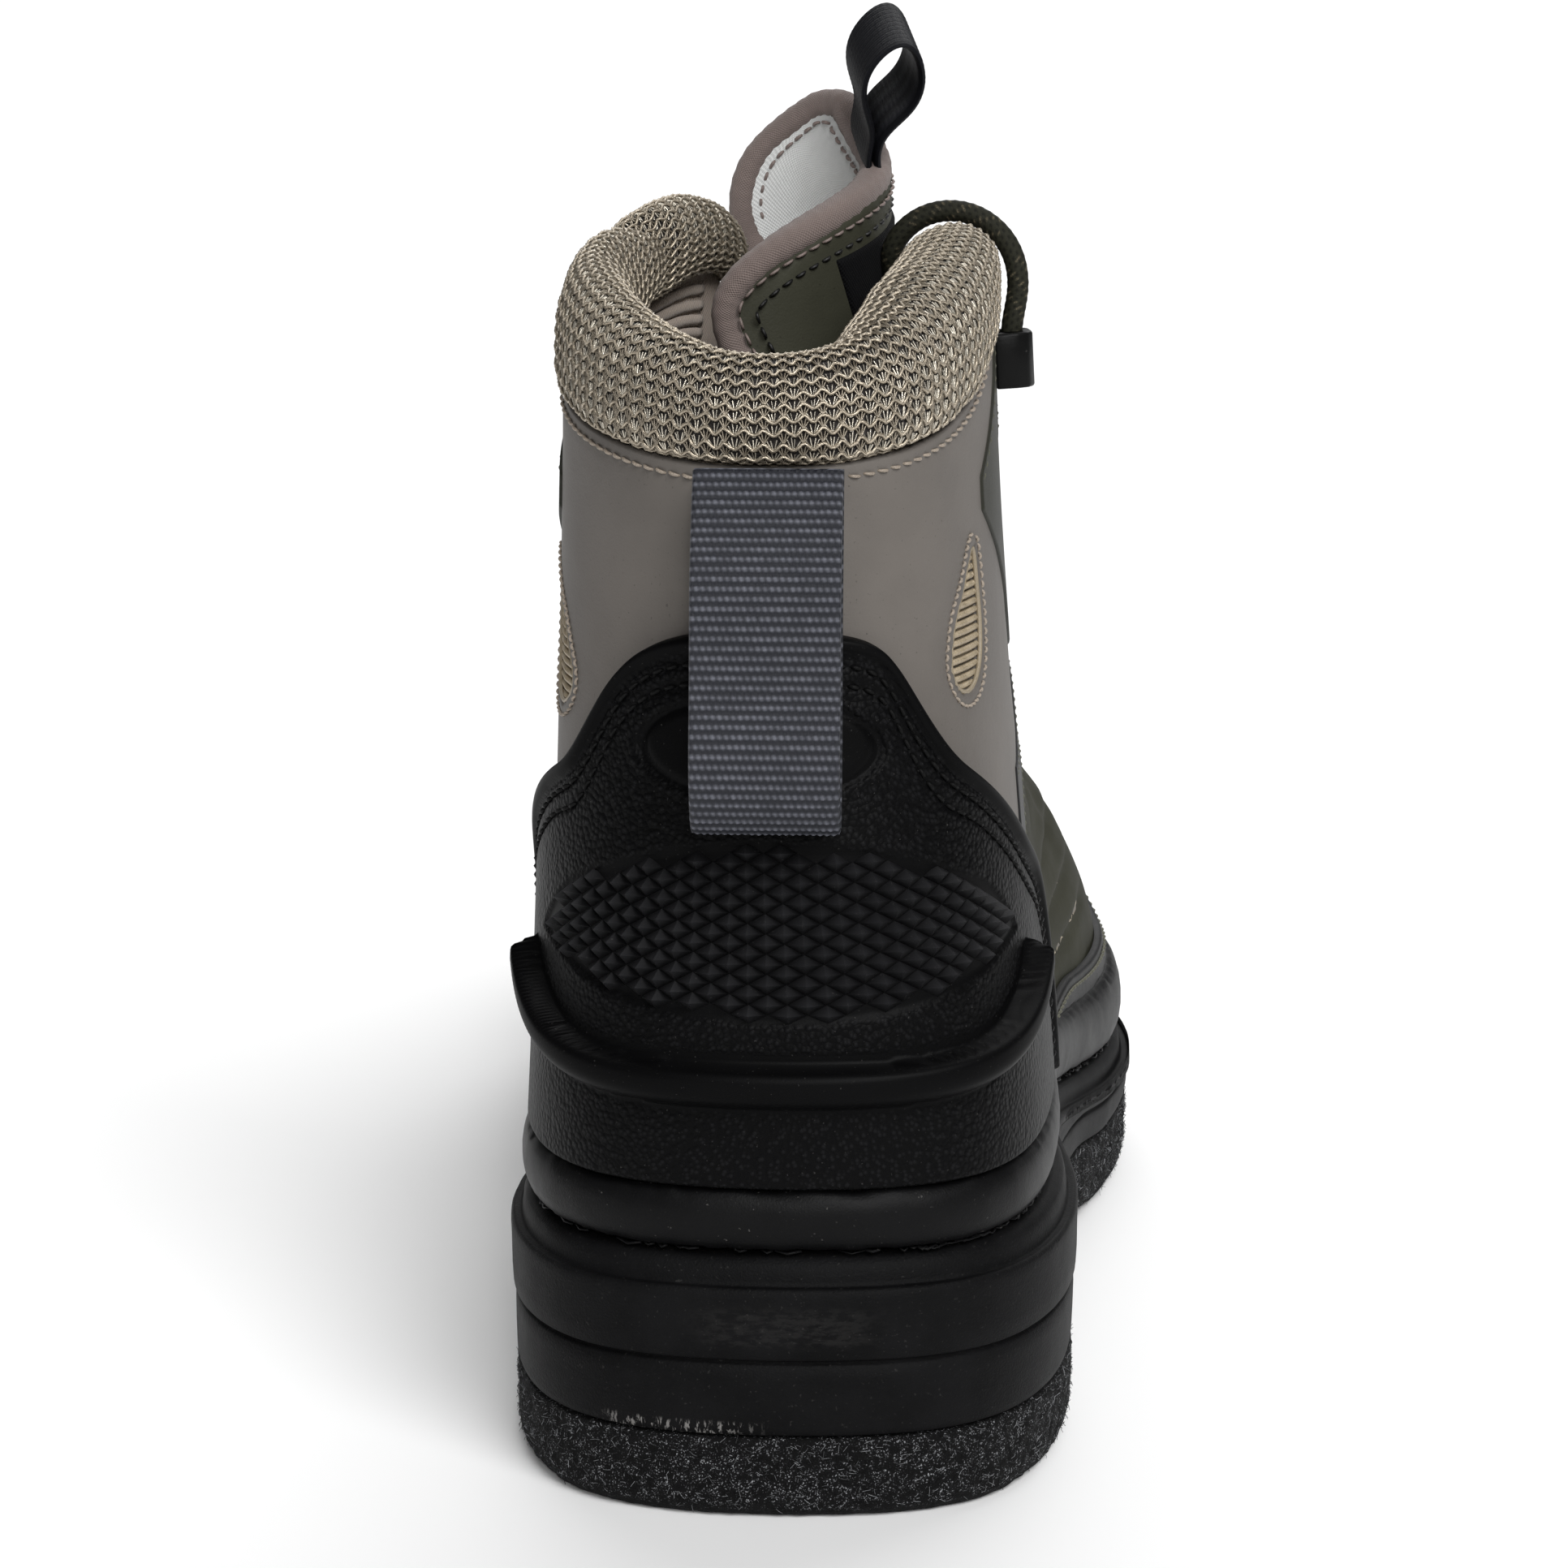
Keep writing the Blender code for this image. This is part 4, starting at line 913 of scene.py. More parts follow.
def cloth_finish(name, colour, pitch, depth, gloss=0.4):
    """Fine plain cloth."""
    finish = Finish(name, Sheen_Weight=0.3 * gloss, Specular_IOR_Level=gloss)
    along, across, _ = finish.lay()
    weave = (along * (2 * math.pi / pitch)).sine() * (across * (2 * math.pi / pitch)).sine() * 0.5 + 0.5
    clouds = finish.noise(8.0, 3.0, 0.5)
    fibres = finish.noise(0.3, 2.0, 0.6)
    ground = finish.tones(weave, colour, 0.7, 1.1)
    finish.colour(finish.mix(clouds.between(0.3, 0.7) * 0.4, ground, shade(colour, 0.75)))
    finish.roughness(0.65 + 0.2 * fibres)
    finish.bump(weave + 0.4 * fibres, depth)
    return finish.material


def lace_finish(colours):
    """Braided lace; lay x is the braid's own relief and lay z its light flecks."""
    finish = Finish("braided lace", Specular_IOR_Level=0.15)
    proud, _, fleck = finish.lay()
    fibres = finish.noise(0.2, 2.0, 0.6)
    ground = finish.tones(proud.between(0.0, 0.9), colours.lace, 0.4, 1.3)
    finish.colour(finish.mix((fleck * fibres.between(0.35, 0.6)).least(1.0), ground, colours.lace_fleck))
    finish.roughness(0.6 + 0.25 * fibres)
    finish.bump(fibres, 0.08)
    return finish.material


def enamel_finish(name, colour):
    finish = Finish(name, Specular_IOR_Level=0.08, Coat_Weight=0.02, Coat_Roughness=0.15)
    worn = finish.noise(1.2, 4.0, 0.6)
    finish.colour(finish.mix(worn.between(0.68, 0.78) * 0.5, colour, (0.12, 0.115, 0.105)))
    finish.roughness(0.22 + 0.25 * worn)
    finish.bump(finish.noise(0.6, 2.0, 0.5), 0.03)
    return finish.material


def floor_finish(colours):
    finish = Finish("pale studio floor", Roughness=0.85)
    clouds = finish.noise(400.0, 2.0, 0.5)
    finish.colour(finish.mix(clouds, shade(colours.floor, 0.985), colours.floor))
    finish.bump(finish.noise(2.0, 3.0, 0.6), 0.02)
    return finish.material


def sole_stack(side, columns, foot, height, wobble):
    """Stacked rings of a sole layer with a cap at the bottom and the top."""
    around = np.arange(columns) / columns
    rings = []
    for share, inset, lift in side:
        plan, outward = sole_edge(around, np.full(columns, inset))
        low = foot(plan[:, 1])
        ring = np.column_stack([plan, low + share * height(plan[:, 1], low) + lift])
        push = wobble(ring) * (inset < 4.0)
        ring[:, :2] += outward * push[:, None]
        rings.append(ring)
    return np.array(rings)


def ring_lay(rings):
    """Lay of stacked rings: distance round from the heel, and height."""
    reach = np.arange(rings.shape[1]) / rings.shape[1]
    reach = np.where(reach > 0.5, reach - 1.0, reach) * GIRTH
    return np.stack(np.broadcast_arrays(reach, rings[..., 2], 0.0), axis=-1)


def make_felt(sizes, colours):
    rings = sole_stack(FELT_SIDE, 520, sole_bottom, lambda y, low: FELT_THICKNESS,
                       lambda p: 0.28 * grain(p, 1.1, 1) + 0.3 * grain(p, 3.5, 2) - 0.1)
    pattern = Pattern()
    pattern.add_loft(rings, ring_lay(rings))
    chance = np.random.default_rng(7)
    count = sizes.felt_fibres
    around = chance.random(count)
    plan, outward = sole_edge(around, np.full(count, 0.95))
    rise = 1.7 + (FELT_THICKNESS - 1.9) * chance.random(count)
    inset = np.interp(rise, (0.5, 1.0, 1.8, 2.9, 4.2), (1.6, 1.0, 0.5, 0.2, 0.0))
    root = np.column_stack([plan - outward * inset[:, None], sole_bottom(plan[:, 1]) + rise])
    out = np.column_stack([outward, np.zeros(count)])
    level = np.column_stack([-outward[:, 1], outward[:, 0], np.zeros(count)])
    heading = chance.normal(0.0, 0.9, count)
    along = level * np.cos(heading)[:, None] + np.array((0, 0, 1.0)) * np.sin(heading)[:, None]
    along *= np.where(chance.random(count) < 0.5, -1.0, 1.0)[:, None]
    length = chance.uniform(0.4, 1.5, count)[:, None]
    lift = chance.uniform(0.0, 0.45, count)[:, None] ** 1.5
    paths = np.stack([root - out * 0.1, root + along * length * 0.5 + out * lift,
                      root + along * length + out * chance.uniform(-0.1, 0.5, count)[:, None]], axis=1)
    paths[..., 2] = np.maximum(paths[..., 2], 0.1)
    tone = np.column_stack([np.zeros((count, 2)), 0.8 * chance.uniform(0.0, 1.0, count) ** 3])
    pattern.add_strands(paths, 0.045, 3, out[:, None], tone)
    pattern.make("felt_tread", [felt_finish(colours)], ["felt_outsole"])


def make_midsole(colours):
    def foot(y):
        return sole_bottom(y) + FELT_THICKNESS + GAP

    rings = sole_stack(MIDSOLE_SIDE, 480, foot, lambda y, low: sole_top(y) - low,
                       lambda p: 0.05 * grain(p, 6.0, 3) + 0.03 * grain(p, 1.5, 4))
    pattern = Pattern()
    pattern.add_loft(rings, ring_lay(rings))
    finish = midsole_finish(colours)
    pattern.make("midsole_wall", [finish], ["midsole"])


def make_rand(colours):
    """Rounded band over the joint of upper and sole, with a ragged line of cement along both edges."""
    columns = 560
    around = np.arange(columns) / columns
    foot = upper_foot(around)
    height = table(RAND_HEIGHT, foot[:, 1] / LENGTH)
    loop = []
    for share, bulge in RAND_SECTION:
        up = up_at_height(around, foot[:, 2] + RAND_CLEARANCE + share * height)
        ring, normal = skin_line(around, up, 2 * GAP + bulge * RAND_THICKNESS)
        ragged = 0.35 * grain(ring, 2.2, 5) + 0.25 * grain(ring, 0.9, 6)
        if share > 0.9:
            ring[:, 2] += ragged
        elif share < 0.1 and bulge > 0:
            ring[:, 2] += 0.6 * ragged
        ring += normal * (0.1 * grain(ring, 4.0, 8) * bulge)[:, None]
        loop.append(ring)
    rings = np.stack(loop, axis=1)
    pattern = Pattern()
    pattern.add_loft(rings, closed=True)
    chance = np.random.default_rng(11)
    count = 260
    spots = chance.random(count)
    foot = upper_foot(spots)
    start, normal = skin_line(spots, up_at_height(spots, foot[:, 2] + 0.5), 1.6)
    ahead = unit(upper_foot(spots + 1e-3) - foot) * chance.uniform(1.0, 5.0, count)[:, None]
    droop = np.array((0, 0, -1.0)) * chance.uniform(0.1, 0.6, count)[:, None]
    sag = start + 0.5 * ahead + droop + 0.5 * normal
    paths = np.stack([start, sag, start + ahead + 0.2 * normal], axis=1)
    pattern.add_strands(paths, chance.uniform(0.12, 0.3, count)[:, None], 4, normal[:, None])
    pattern.make("rand_band", [rand_finish(colours)], ["rand"])


def make_insole(colours):
    columns = 240
    around = np.arange(columns) / columns
    inset = spline(KNOTS, [s.inset for s in STATIONS], around, 1.0) + UPPER_WALL + INSOLE_CLEARANCE
    rings = []
    for extra, lift in FOOTBED_SIDE:
        plan, _ = sole_edge(around, inset + extra)
        rings.append(np.column_stack([plan, sole_top(plan[:, 1]) + GAP + lift]))
    rings = np.array(rings)
    pattern = Pattern()
    pattern.add_loft(rings, rings * (1.0, 1.0, 0.0))
    finish = cloth_finish("footbed cloth", colours.footbed, 1.1, 0.25)
    pattern.make("footbed", [finish], ["insole"])


def make_upper_base(colours):
    """Inner body of the upper: mesh cloth outside, under the panels, and lining inside."""
    columns, rows = 140, 34
    around = np.arange(columns) / columns
    ups = np.linspace(0.0, 1.0, rows)
    outer = upper_skin(around, ups, np.full((columns, rows), BASE_LIFT))[0]
    inner = upper_skin(around, ups, np.full((columns, rows), -UPPER_WALL))[0]
    rim = 0.5 * (outer[:, -1:] + inner[:, -1:]) + (0.0, 0.0, 0.25)
    foot = 0.5 * (outer[:, :1] + inner[:, :1])
    reach = np.broadcast_to((around * GIRTH)[:, None, None], (columns, rows, 1))
    climb = walked_across(outer)[..., None]
    lay = np.concatenate([reach, climb, np.zeros(reach.shape)], axis=-1)
    pattern = Pattern()
    pattern.add(outer, grid_quads(columns, rows, closed=True), lay, 0)
    pattern.add(inner, grid_quads(columns, rows, closed=True)[:, ::-1], lay, 1)
    top = np.concatenate([outer[:, -1:], rim, inner[:, -1:]], axis=1)
    low = np.concatenate([inner[:, :1], foot, outer[:, :1]], axis=1)
    pattern.add(top, grid_quads(columns, 3, closed=True), lay[:, -3:], 1)
    pattern.add(low, grid_quads(columns, 3, closed=True), lay[:, :3], 1)
    cloth = lining_finish("ribbed window mesh", colours.window_mesh)
    lining = cloth_finish("lining cloth", colours.lining, 0.9, 0.2)
    pattern.make("upper_lining", [cloth, lining], ["upper"])
    make_shaft_lining(colours)


def make_shaft_lining(colours):
    """Bands of ribbed knit round the inside of the shaft, below the collar."""
    reach = np.linspace(-126.0, 112.0, 120)
    around = share_round(reach)
    chance = np.random.default_rng(19)
    pattern = Pattern()
    for band in range(18):
        up = up_below_top(around, 1.2 + 2.35 * band + 0.3 * np.sin(reach / 9.0 + band))
        line, out = skin_line(around, up, -UPPER_WALL - 0.25)
        strokes = np.stack([reach, np.full(len(reach), 0.525), np.zeros(len(reach))], axis=-1)
        width = 1.05 + 0.05 * chance.normal(size=len(reach))
        pattern.add_strands(line[None], width[None], 6, -out[None], strokes[None], flatten=0.6)
    pattern.make("shaft_lining", [lining_finish("ribbed lining knit", colours.lining)])


def window_line(outline, count):
    """A window's smooth outline and the way out from it, by reach and height."""
    loop = np.array(outline)
    at = np.linspace(0.0, 1.0, count, endpoint=False)
    line = spline(np.arange(len(loop)) / len(loop), loop, at, 1.0)
    tangent = np.gradient(np.concatenate([line[-1:], line, line[:1]]), axis=0)[1:-1]
    outward = unit(np.stack([tangent[:, 1], -tangent[:, 0]], axis=-1))
    area = 0.5 * np.sum(line[:, 0] * np.roll(line[:, 1], -1) - np.roll(line[:, 0], -1) * line[:, 1])
    return line, outward * np.sign(area)


def window_distance(outline, reach, height):
    """Distance from a window's outline, below zero inside it."""
    line, outward = window_line(outline, 240)
    spots = np.stack([np.broadcast_to(reach, height.shape), height], axis=-1)
    gap = spots[..., None, :] - line
    distance = np.linalg.norm(gap, axis=-1)
    nearest = distance.argmin(axis=-1)
    facing = np.take_along_axis(gap, nearest[..., None, None], axis=-2)[..., 0, :]
    return distance.min(axis=-1) * np.sign((facing * outward[nearest]).sum(-1))


def make_quarter(colours):
    """Taupe quarter round the heel and shaft, with a teardrop window cut in each side."""
    reach = columns_between(-QUARTER_REACH, QUARTER_REACH, 240, 0.8)
    around = share_round(reach)
    foot = upper_foot(around)
    low = up_at_height(around, foot[:, 2] + PANEL_FOOT)
    panel = Panel(reach, low, np.full(len(reach), PANEL_TOP), 120, 0.7, heights=False)
    shape = np.zeros(panel.height.shape)
    for outline in (WINDOW_LATERAL, WINDOW_MEDIAL):
        near = np.abs(panel.reach - np.mean([p[0] for p in outline])) < 24
        gap = window_distance(outline, panel.reach[near][:, None], panel.height[near])
        shape[near] -= (PANEL_LIFT - BASE_LIFT + 0.12) * (1.0 - smooth((gap + 0.45) / 0.9))
        shape[near] += 0.14 * hump(gap, 1.0, 0.8) - 0.12 * hump(gap, 2.3, 0.5)
    shape -= 0.22 * hump(panel.from_high, 2.2, 0.6)
    shape += 0.12 * grain(panel.skin, 22.0, 12) + 0.05 * grain(panel.skin, 7.0, 13)
    pattern = Pattern()
    panel.add_to(pattern, BASE_LIFT, PANEL_LIFT, shape)
    finish = leather_finish("taupe coated leather", colours.taupe, 0.5)
    pattern.make("quarter_panel", [finish])
    make_quarter_stitching(colours)
    make_windows(colours)


def outline_on_upper(outline, offset, lift):
    """A window's outline, moved out by the offset, as points and normals over the upper."""
    line, outward = window_line(outline, 160)
    line = line + outward * offset
    return on_upper(line[:, 0], line[:, 1], lift)


def make_quarter_stitching(colours):
    """Stitches below the collar and round the windows."""
    pattern = Pattern()
    reach = np.linspace(-112.0, 112.0, 400)
    around = share_round(reach)
    line, out = skin_line(around, up_below_top(around, 2.3), PANEL_LIFT)
    for part in (line[:, 0] > STRAP_SIDE + 0.5 * STRAP_WIDTH, line[:, 0] < STRAP_SIDE - 0.5 * STRAP_WIDTH):
        pattern.add_stitches(line[part], out[part], QUARTER_STITCH, slant=0.16)
    for outline in (WINDOW_LATERAL, WINDOW_MEDIAL):
        edge, out = outline_on_upper(outline, 2.3, PANEL_LIFT)
        pattern.add_stitches(edge, out, WINDOW_STITCH, slant=0.1)
    pattern.make("quarter_stitching", [thread_finish("tan thread", colours.thread)])


def make_windows(colours):
    """Ribbed mesh across each window, and the rolled edge of the cut round it."""
    pattern = Pattern()
    for outline in (WINDOW_LATERAL, WINDOW_MEDIAL):
        edge, out = outline_on_upper(outline, 0.1, PANEL_LIFT - 0.35)
        edge = np.concatenate([edge, edge[:1]])
        out = np.concatenate([out, out[:1]])
        pattern.add_strands(edge[None], 0.42, 6, out[None], (0, 0, 0.55))
        loop = np.array(outline)
        lowest, highest = loop[:, 1].min(), loop[:, 1].max()
        for height in np.arange(lowest + 0.5, highest, 1.35):
            reach = np.linspace(loop[:, 0].min(), loop[:, 0].max(), 60)
            inside = window_distance(outline, reach, np.full(60, height)) < 0.4
            if inside.sum() < 4:
                continue
            span = np.linspace(reach[inside].min(), reach[inside].max(), 40)
            wave = 0.16 * np.cos(np.arange(40) * 2.2)
            points, out = on_upper(span, np.full(40, height) + 0.25 * wave, BASE_LIFT + 0.3 + wave)
            pattern.add_strands(points[None], 0.52, 6, out[None], (0, 0, 1.0))
    pattern.make("window_mesh", [yarn_finish("window yarn", colours.window_mesh, 0.4)])


def counter_edges(reach):
    around = share_round(reach)
    foot = upper_foot(around)
    low = foot[:, 2] + table(RAND_HEIGHT, foot[:, 1] / LENGTH) + RAND_CLEARANCE + GAP
    return low, np.maximum(table(COUNTER_TOP, reach), low + COUNTER_LEAST)


def counter_slope(reach):
    """How steeply the counter's top edge falls, as the cosine of its angle."""
    step = 0.5
    fall = (counter_edges(reach + step)[1] - counter_edges(reach - step)[1]) / (2 * step)
    return 1.0 / np.sqrt(1.0 + (0.85 * fall) ** 2)


def stud_field(reach, height):
    """How far a spot lies inside the field of studs, in millimetres."""
    side = np.abs(reach)
    top = table(STUD_FIELD_TOP, side)
    foot = table(STUD_FIELD_FOOT, side)
    inside = np.minimum(top - height, height - foot)
    return np.where(side > STUD_FIELD_TOP[-1][0], -1.0, inside)


def make_counter(colours):
    """Moulded heel piece: rolled rim, pebbled skin, badge, field of studs and kick ledge."""
    reach = columns_between(-COUNTER_REACH, COUNTER_REACH, 270, 1.0)
    low, high = counter_edges(reach)
    panel = Panel(reach, low, high, 120, 0.9)
    height = panel.height
    round_from = np.broadcast_to(panel.reach[:, None], height.shape)
    from_rim = panel.from_high * counter_slope(panel.reach)[:, None]
    off_rim = (from_rim - 0.5 * RIM_WIDTH) / (0.5 * RIM_WIDTH)
    shape = RIM_PROUD * np.sqrt(np.clip(1.0 - off_rim ** 2, 0.0, 1.0)) * smooth(from_rim / 0.6)
    shape -= 0.35 * hump(from_rim - RIM_WIDTH, 0.5, 0.45)
    for row in SEAM_ROWS:
        shape -= 0.4 * hump(from_rim, row, 0.5)
    away = np.hypot((round_from - BADGE_MIDDLE[0]) / BADGE_HALF[0],
                    (height - BADGE_MIDDLE[1]) / BADGE_HALF[1])
    shape -= 0.7 * hump(away, 1.0, 0.05)
    shape += 0.3 * (1.0 - smooth((away - 0.9) / 0.1)) + 0.3 * hump(away, 1.1, 0.035)
    inside = stud_field(round_from, height)
    shape -= 0.5 * smooth((inside + 0.6) / 0.9)
    ledge = LEDGE_BACK + LEDGE_CLIMB * (np.abs(round_from) / LEDGE_REACH) ** LEDGE_BEND
    across = (height - ledge) / LEDGE_HALF_HEIGHT
    ends = smooth((LEDGE_REACH + 0.7 - np.abs(round_from)) / 1.4)
    profile = np.where(across > 0, np.clip(1.0 - np.abs(across / 0.8) ** 6, 0, 1),
                       np.clip(1.0 - np.abs(across / 1.1) ** 2.4, 0, 1))
    shape += LEDGE_PROUD * ends * profile ** 0.6
    plain = np.maximum(1.0 - smooth((away - 1.0) / 0.06), smooth((1.5 - np.abs(across)) / 0.25) * ends)
    plain = np.maximum(plain, 1.0 - smooth((from_rim - RIM_WIDTH) / 0.4))
    plain = np.maximum(plain, smooth((inside + 0.6) / 0.6))
    lay = np.stack([round_from, height, np.clip(plain, 0, 1)], axis=-1)
    pattern = Pattern()
    top = 2 * GAP + COUNTER_THICKNESS
    panel.add_to(pattern, 2 * GAP, top, shape, lay)
    add_studs(pattern, top - 0.5)
    finishes = [counter_finish(colours), stud_finish(colours)]
    pattern.make("counter_moulding", finishes, ["heel_counter"])
    seams = Pattern()
    for row in SEAM_ROWS:
        round_line = np.linspace(-92.0, 92.0, 500)
        foot, edge = counter_edges(round_line)
        seam = edge - row / counter_slope(round_line)
        keep = seam > foot + 2.0
        line, out = on_upper(round_line[keep], seam[keep], top - 0.22)
        seams.add_stitches(line, out, COUNTER_STITCH)
    thread = thread_finish("black thread", colours.black_thread, 0.1)
    seams.make("counter_stitching", [thread])


def add_studs(pattern, lift):
    """Four-sided pyramids in staggered rows over the field."""
    step, rise = STUD_PITCH
    spots = []
    for row in range(-12, 24):
        for column in range(-18, 19):
            if (row + column) % 2 == 0:
                spots.append((STUD_MIDDLE[0] + column * step, STUD_MIDDLE[1] + row * rise))
    spots = np.array(spots)
    spots = spots[stud_field(spots[:, 0], spots[:, 1]) > 0.9]
    corners = [(0, 0), (step, 0), (0, rise), (-step, 0), (0, -rise)]
    lifts = [lift + STUD_HEIGHT] + [lift - 0.02] * 4
    points = [on_upper(spots[:, 0] + c[0], spots[:, 1] + c[1], h)[0] for c, h in zip(corners, lifts)]
    points = np.stack(points, axis=1)
    faces = np.array([(0, 1, 2), (0, 2, 3), (0, 3, 4), (0, 4, 1)])
    faces = (np.arange(len(spots))[:, None, None] * 5 + faces).reshape(-1, 3)
    lay = np.zeros(points.shape)
    # Painted light: the tip and the upper corner carry a lighter tone, wear at the tip and painted highlight
    # on the upper facets
    lay[:, 0, 2] = 1.0
    lay[:, 2, 2] = 0.45
    pattern.add(points, faces, lay, 1, flat=True)


def collar_surface(reach, turn):
    """Points of the collar roll: reach along the top line from the heel, turn round its section."""
    reaches, heights, thicknesses = zip(*COLLAR_ROLL)
    top = upper_points(np.linspace(0.0, 1.0, 721)[:-1], np.array([1.0]))[:, 0]
    walk = np.linalg.norm(np.diff(top, axis=0), axis=1)
    lateral = np.concatenate([[0.0], np.cumsum(walk)])
    medial = np.concatenate([[0.0], np.cumsum(walk[::-1])])
    share = np.arange(len(top)) / len(top)
    around = np.where(reach >= 0, np.interp(reach, lateral, share), -np.interp(-reach, medial, share))
    foot, normal = upper_skin(np.mod(around, 1.0), np.array([1.0]))
    outward = unit(normal[:, 0] * (1.0, 1.0, 0.0))
    height = spline(reaches, heights, reach)
    thick = spline(reaches, thicknesses, reach)
    seam = foot[:, 0] + np.array((0.0, 0.0, 2 * GAP))
    out, up = spline(SECTION_KNOTS, COLLAR_SECTION, turn, 1.0).T
    crease = 1.0 - PINCH_DEPTH * hump(reach[:, None] - PINCH_REACH, 14.0 * out, PINCH_WIDTH)
    return (seam[:, None] + outward[:, None] * (thick[:, None] * out * crease)[..., None]
            + (height[:, None] * up * crease)[..., None] * np.array((0.0, 0.0, 1.0)))


SECTION_LOOP = np.array(COLLAR_SECTION + COLLAR_SECTION[:1]) * (1.0, 1.1)
SECTION_KNOTS = (walked(SECTION_LOOP) / walked(SECTION_LOOP)[-1])[:-1]


def collar_skin(reach, turn):
    """Points and normals of the collar roll over a grid of reaches and turns."""
    step = 2e-3
    points = collar_surface(reach, turn)
    along = collar_surface(reach + 0.3, turn) - collar_surface(reach - 0.3, turn)
    rising = collar_surface(reach, turn + step) - collar_surface(reach, turn - step)
    normal = unit(np.cross(along, rising))
    pucker = 0.35 * grain(points, 9.0, 21) + 0.15 * grain(points, 4.0, 22)
    return points + normal * pucker[..., None], normal


def make_collar(sizes, colours):
    """Padded roll, and the coarse knit that covers it."""
    reach = np.linspace(COLLAR_ROLL[0].reach, COLLAR_ROLL[-1].reach, 200)
    turn = np.linspace(0.0, 1.0, 61)[:-1]
    points, normal = collar_skin(reach, turn)
    points = points - normal * 0.55
    lay = np.stack(np.broadcast_arrays(reach[:, None], turn * 50.0, 0.0), axis=-1)
    pad = Pattern()
    pad.add_loft(points, lay)
    ground = cloth_finish("knit ground", colours.knit_ground, 0.9, 0.3)
    roll = pad.make("collar_pad", [ground], ["collar"])
    make_knit(sizes, colours)


class KnitGround:
    """The roll's surface sampled once, for strands to be laid on."""

    def __init__(self):
        self.first, self.last = COLLAR_ROLL[0].reach, COLLAR_ROLL[-1].reach
        self.columns, self.rows = 408, 240
        reach = np.linspace(self.first, self.last, self.columns + 1)
        self.points, self.normals = collar_skin(reach, np.linspace(0.0, 1.0, self.rows + 1))

    def lay(self, reach, turn, lift):
        """Strand points and normals from reaches, turns and lifts of equal shape."""
        x = np.clip((reach - self.first) / (self.last - self.first), 0.0, 1.0) * (self.columns - 1e-6)
        y = np.mod(turn, 1.0) * (self.rows - 1e-6)
        i, j = x.astype(int), y.astype(int)
        u, v = (x - i)[..., None], (y - j)[..., None]
        sample = [(1 - u) * (1 - v), u * (1 - v), (1 - u) * v, u * v]
        corners = [(i, j), (i + 1, j), (i, j + 1), (i + 1, j + 1)]
        points = sum(w * self.points[c] for w, c in zip(sample, corners))
        normals = unit(sum(w * self.normals[c] for w, c in zip(sample, corners)))
        return points + normals * lift[..., None], normals


def two_point_strands(low, high):
    """Straight strands between two places, each given as reaches and turns."""
    ends = [np.stack(np.broadcast_arrays(*place), axis=-1) for place in (low, high)]
    return np.stack(ends, axis=2).reshape(-1, 2, 2)


def make_knit(sizes, colours):
    """Rows of zigzag yarn tied by threads from each peak, with a fan of clear threads in each hole."""
    ground = KnitGround()
    pitch = sizes.knit_pitch / MM
    rows = sizes.knit_rows
    first, last = ground.first + 0.8, ground.last - 0.8
    periods = int((last - first) / pitch)
    knots = np.linspace(first, last, periods * 6 + 1)
    phase = np.linspace(0.0, periods * 2 * math.pi, periods * 6 + 1)
    wave = 2.0 / math.pi * np.arcsin(0.93 * np.sin(phase))
    spread = 1.0 / rows
    base = (np.arange(rows)[:, None] + 0.5) * spread
    turns = base + 0.34 * spread * wave
    reach = np.broadcast_to(knots, turns.shape)
    chance = np.random.default_rng(5)
    turns = turns + spread * 0.04 * chance.normal(size=turns.shape)
    lift = np.broadcast_to(0.10 + 0.12 * np.cos(2 * phase), turns.shape)
    finish = yarn_finish("knit yarn", colours.knit_yarn, 0.2, 0.35, 0.6)
    rows_of_yarn = Pattern()
    paths, out = ground.lay(reach, turns, lift)
    rows_of_yarn.add_strands(paths, YARN_RADIUS, 4, out, (0, 0, 1.0))
    rows_of_yarn.make("collar_knit", [finish])
    peaks = first + (np.arange(periods) + 0.25) * (last - first) / periods
    ties = Pattern()
    for aside, dip in ((-1.0, 0.04), (-0.36, 0.0), (0.36, 0.02), (1.0, -0.02)):
        low = (peaks + 0.1 * aside, base + 0.3 * spread)
        strand = two_point_strands(low, (peaks + aside, base + 1.02 * spread))
        lifts = np.broadcast_to(np.array((-0.05, -0.2)) + dip, strand.shape[:2])
        paths, out = ground.lay(strand[..., 0], strand[..., 1], lifts)
        # The ties' lower tone (0.45) is painted shade: they lie deeper, behind the zigzag yarn
        ties.add_strands(paths, TIE_RADIUS, 3, out, (0, 0, 0.45))
    ties.make("collar_ties", [finish])
    dips = first + (np.arange(periods) + 0.75) * (last - first) / periods
    fans = Pattern()
    for aside in (-1.05, -0.4, 0.35, 1.0):
        low = (dips + 0.15 * aside, base - 0.3 * spread)
        strand = two_point_strands(low, (dips + aside, base + (0.62 - 0.16 * abs(aside)) * spread))
        strand[:, 1] += chance.normal(0.0, 1.0, (len(strand), 2)) * (0.12, 0.05 * spread)
        lifts = np.broadcast_to((-0.05, -0.28), strand.shape[:2])
        paths, out = ground.lay(strand[..., 0], strand[..., 1], lifts)
        # Painted sparkle: a random tone per clear thread, its lighter threads standing in for glints
        tone = np.column_stack([np.zeros((len(strand), 2)), chance.uniform(0.15, 1.0, len(strand))])
        fans.add_strands(paths, CLEAR_RADIUS, 3, out, tone)
    clear = yarn_finish("clear knit thread", colours.knit_clear, 0.1, 0.2, 0.5)
    fans.make("collar_fans", [clear])


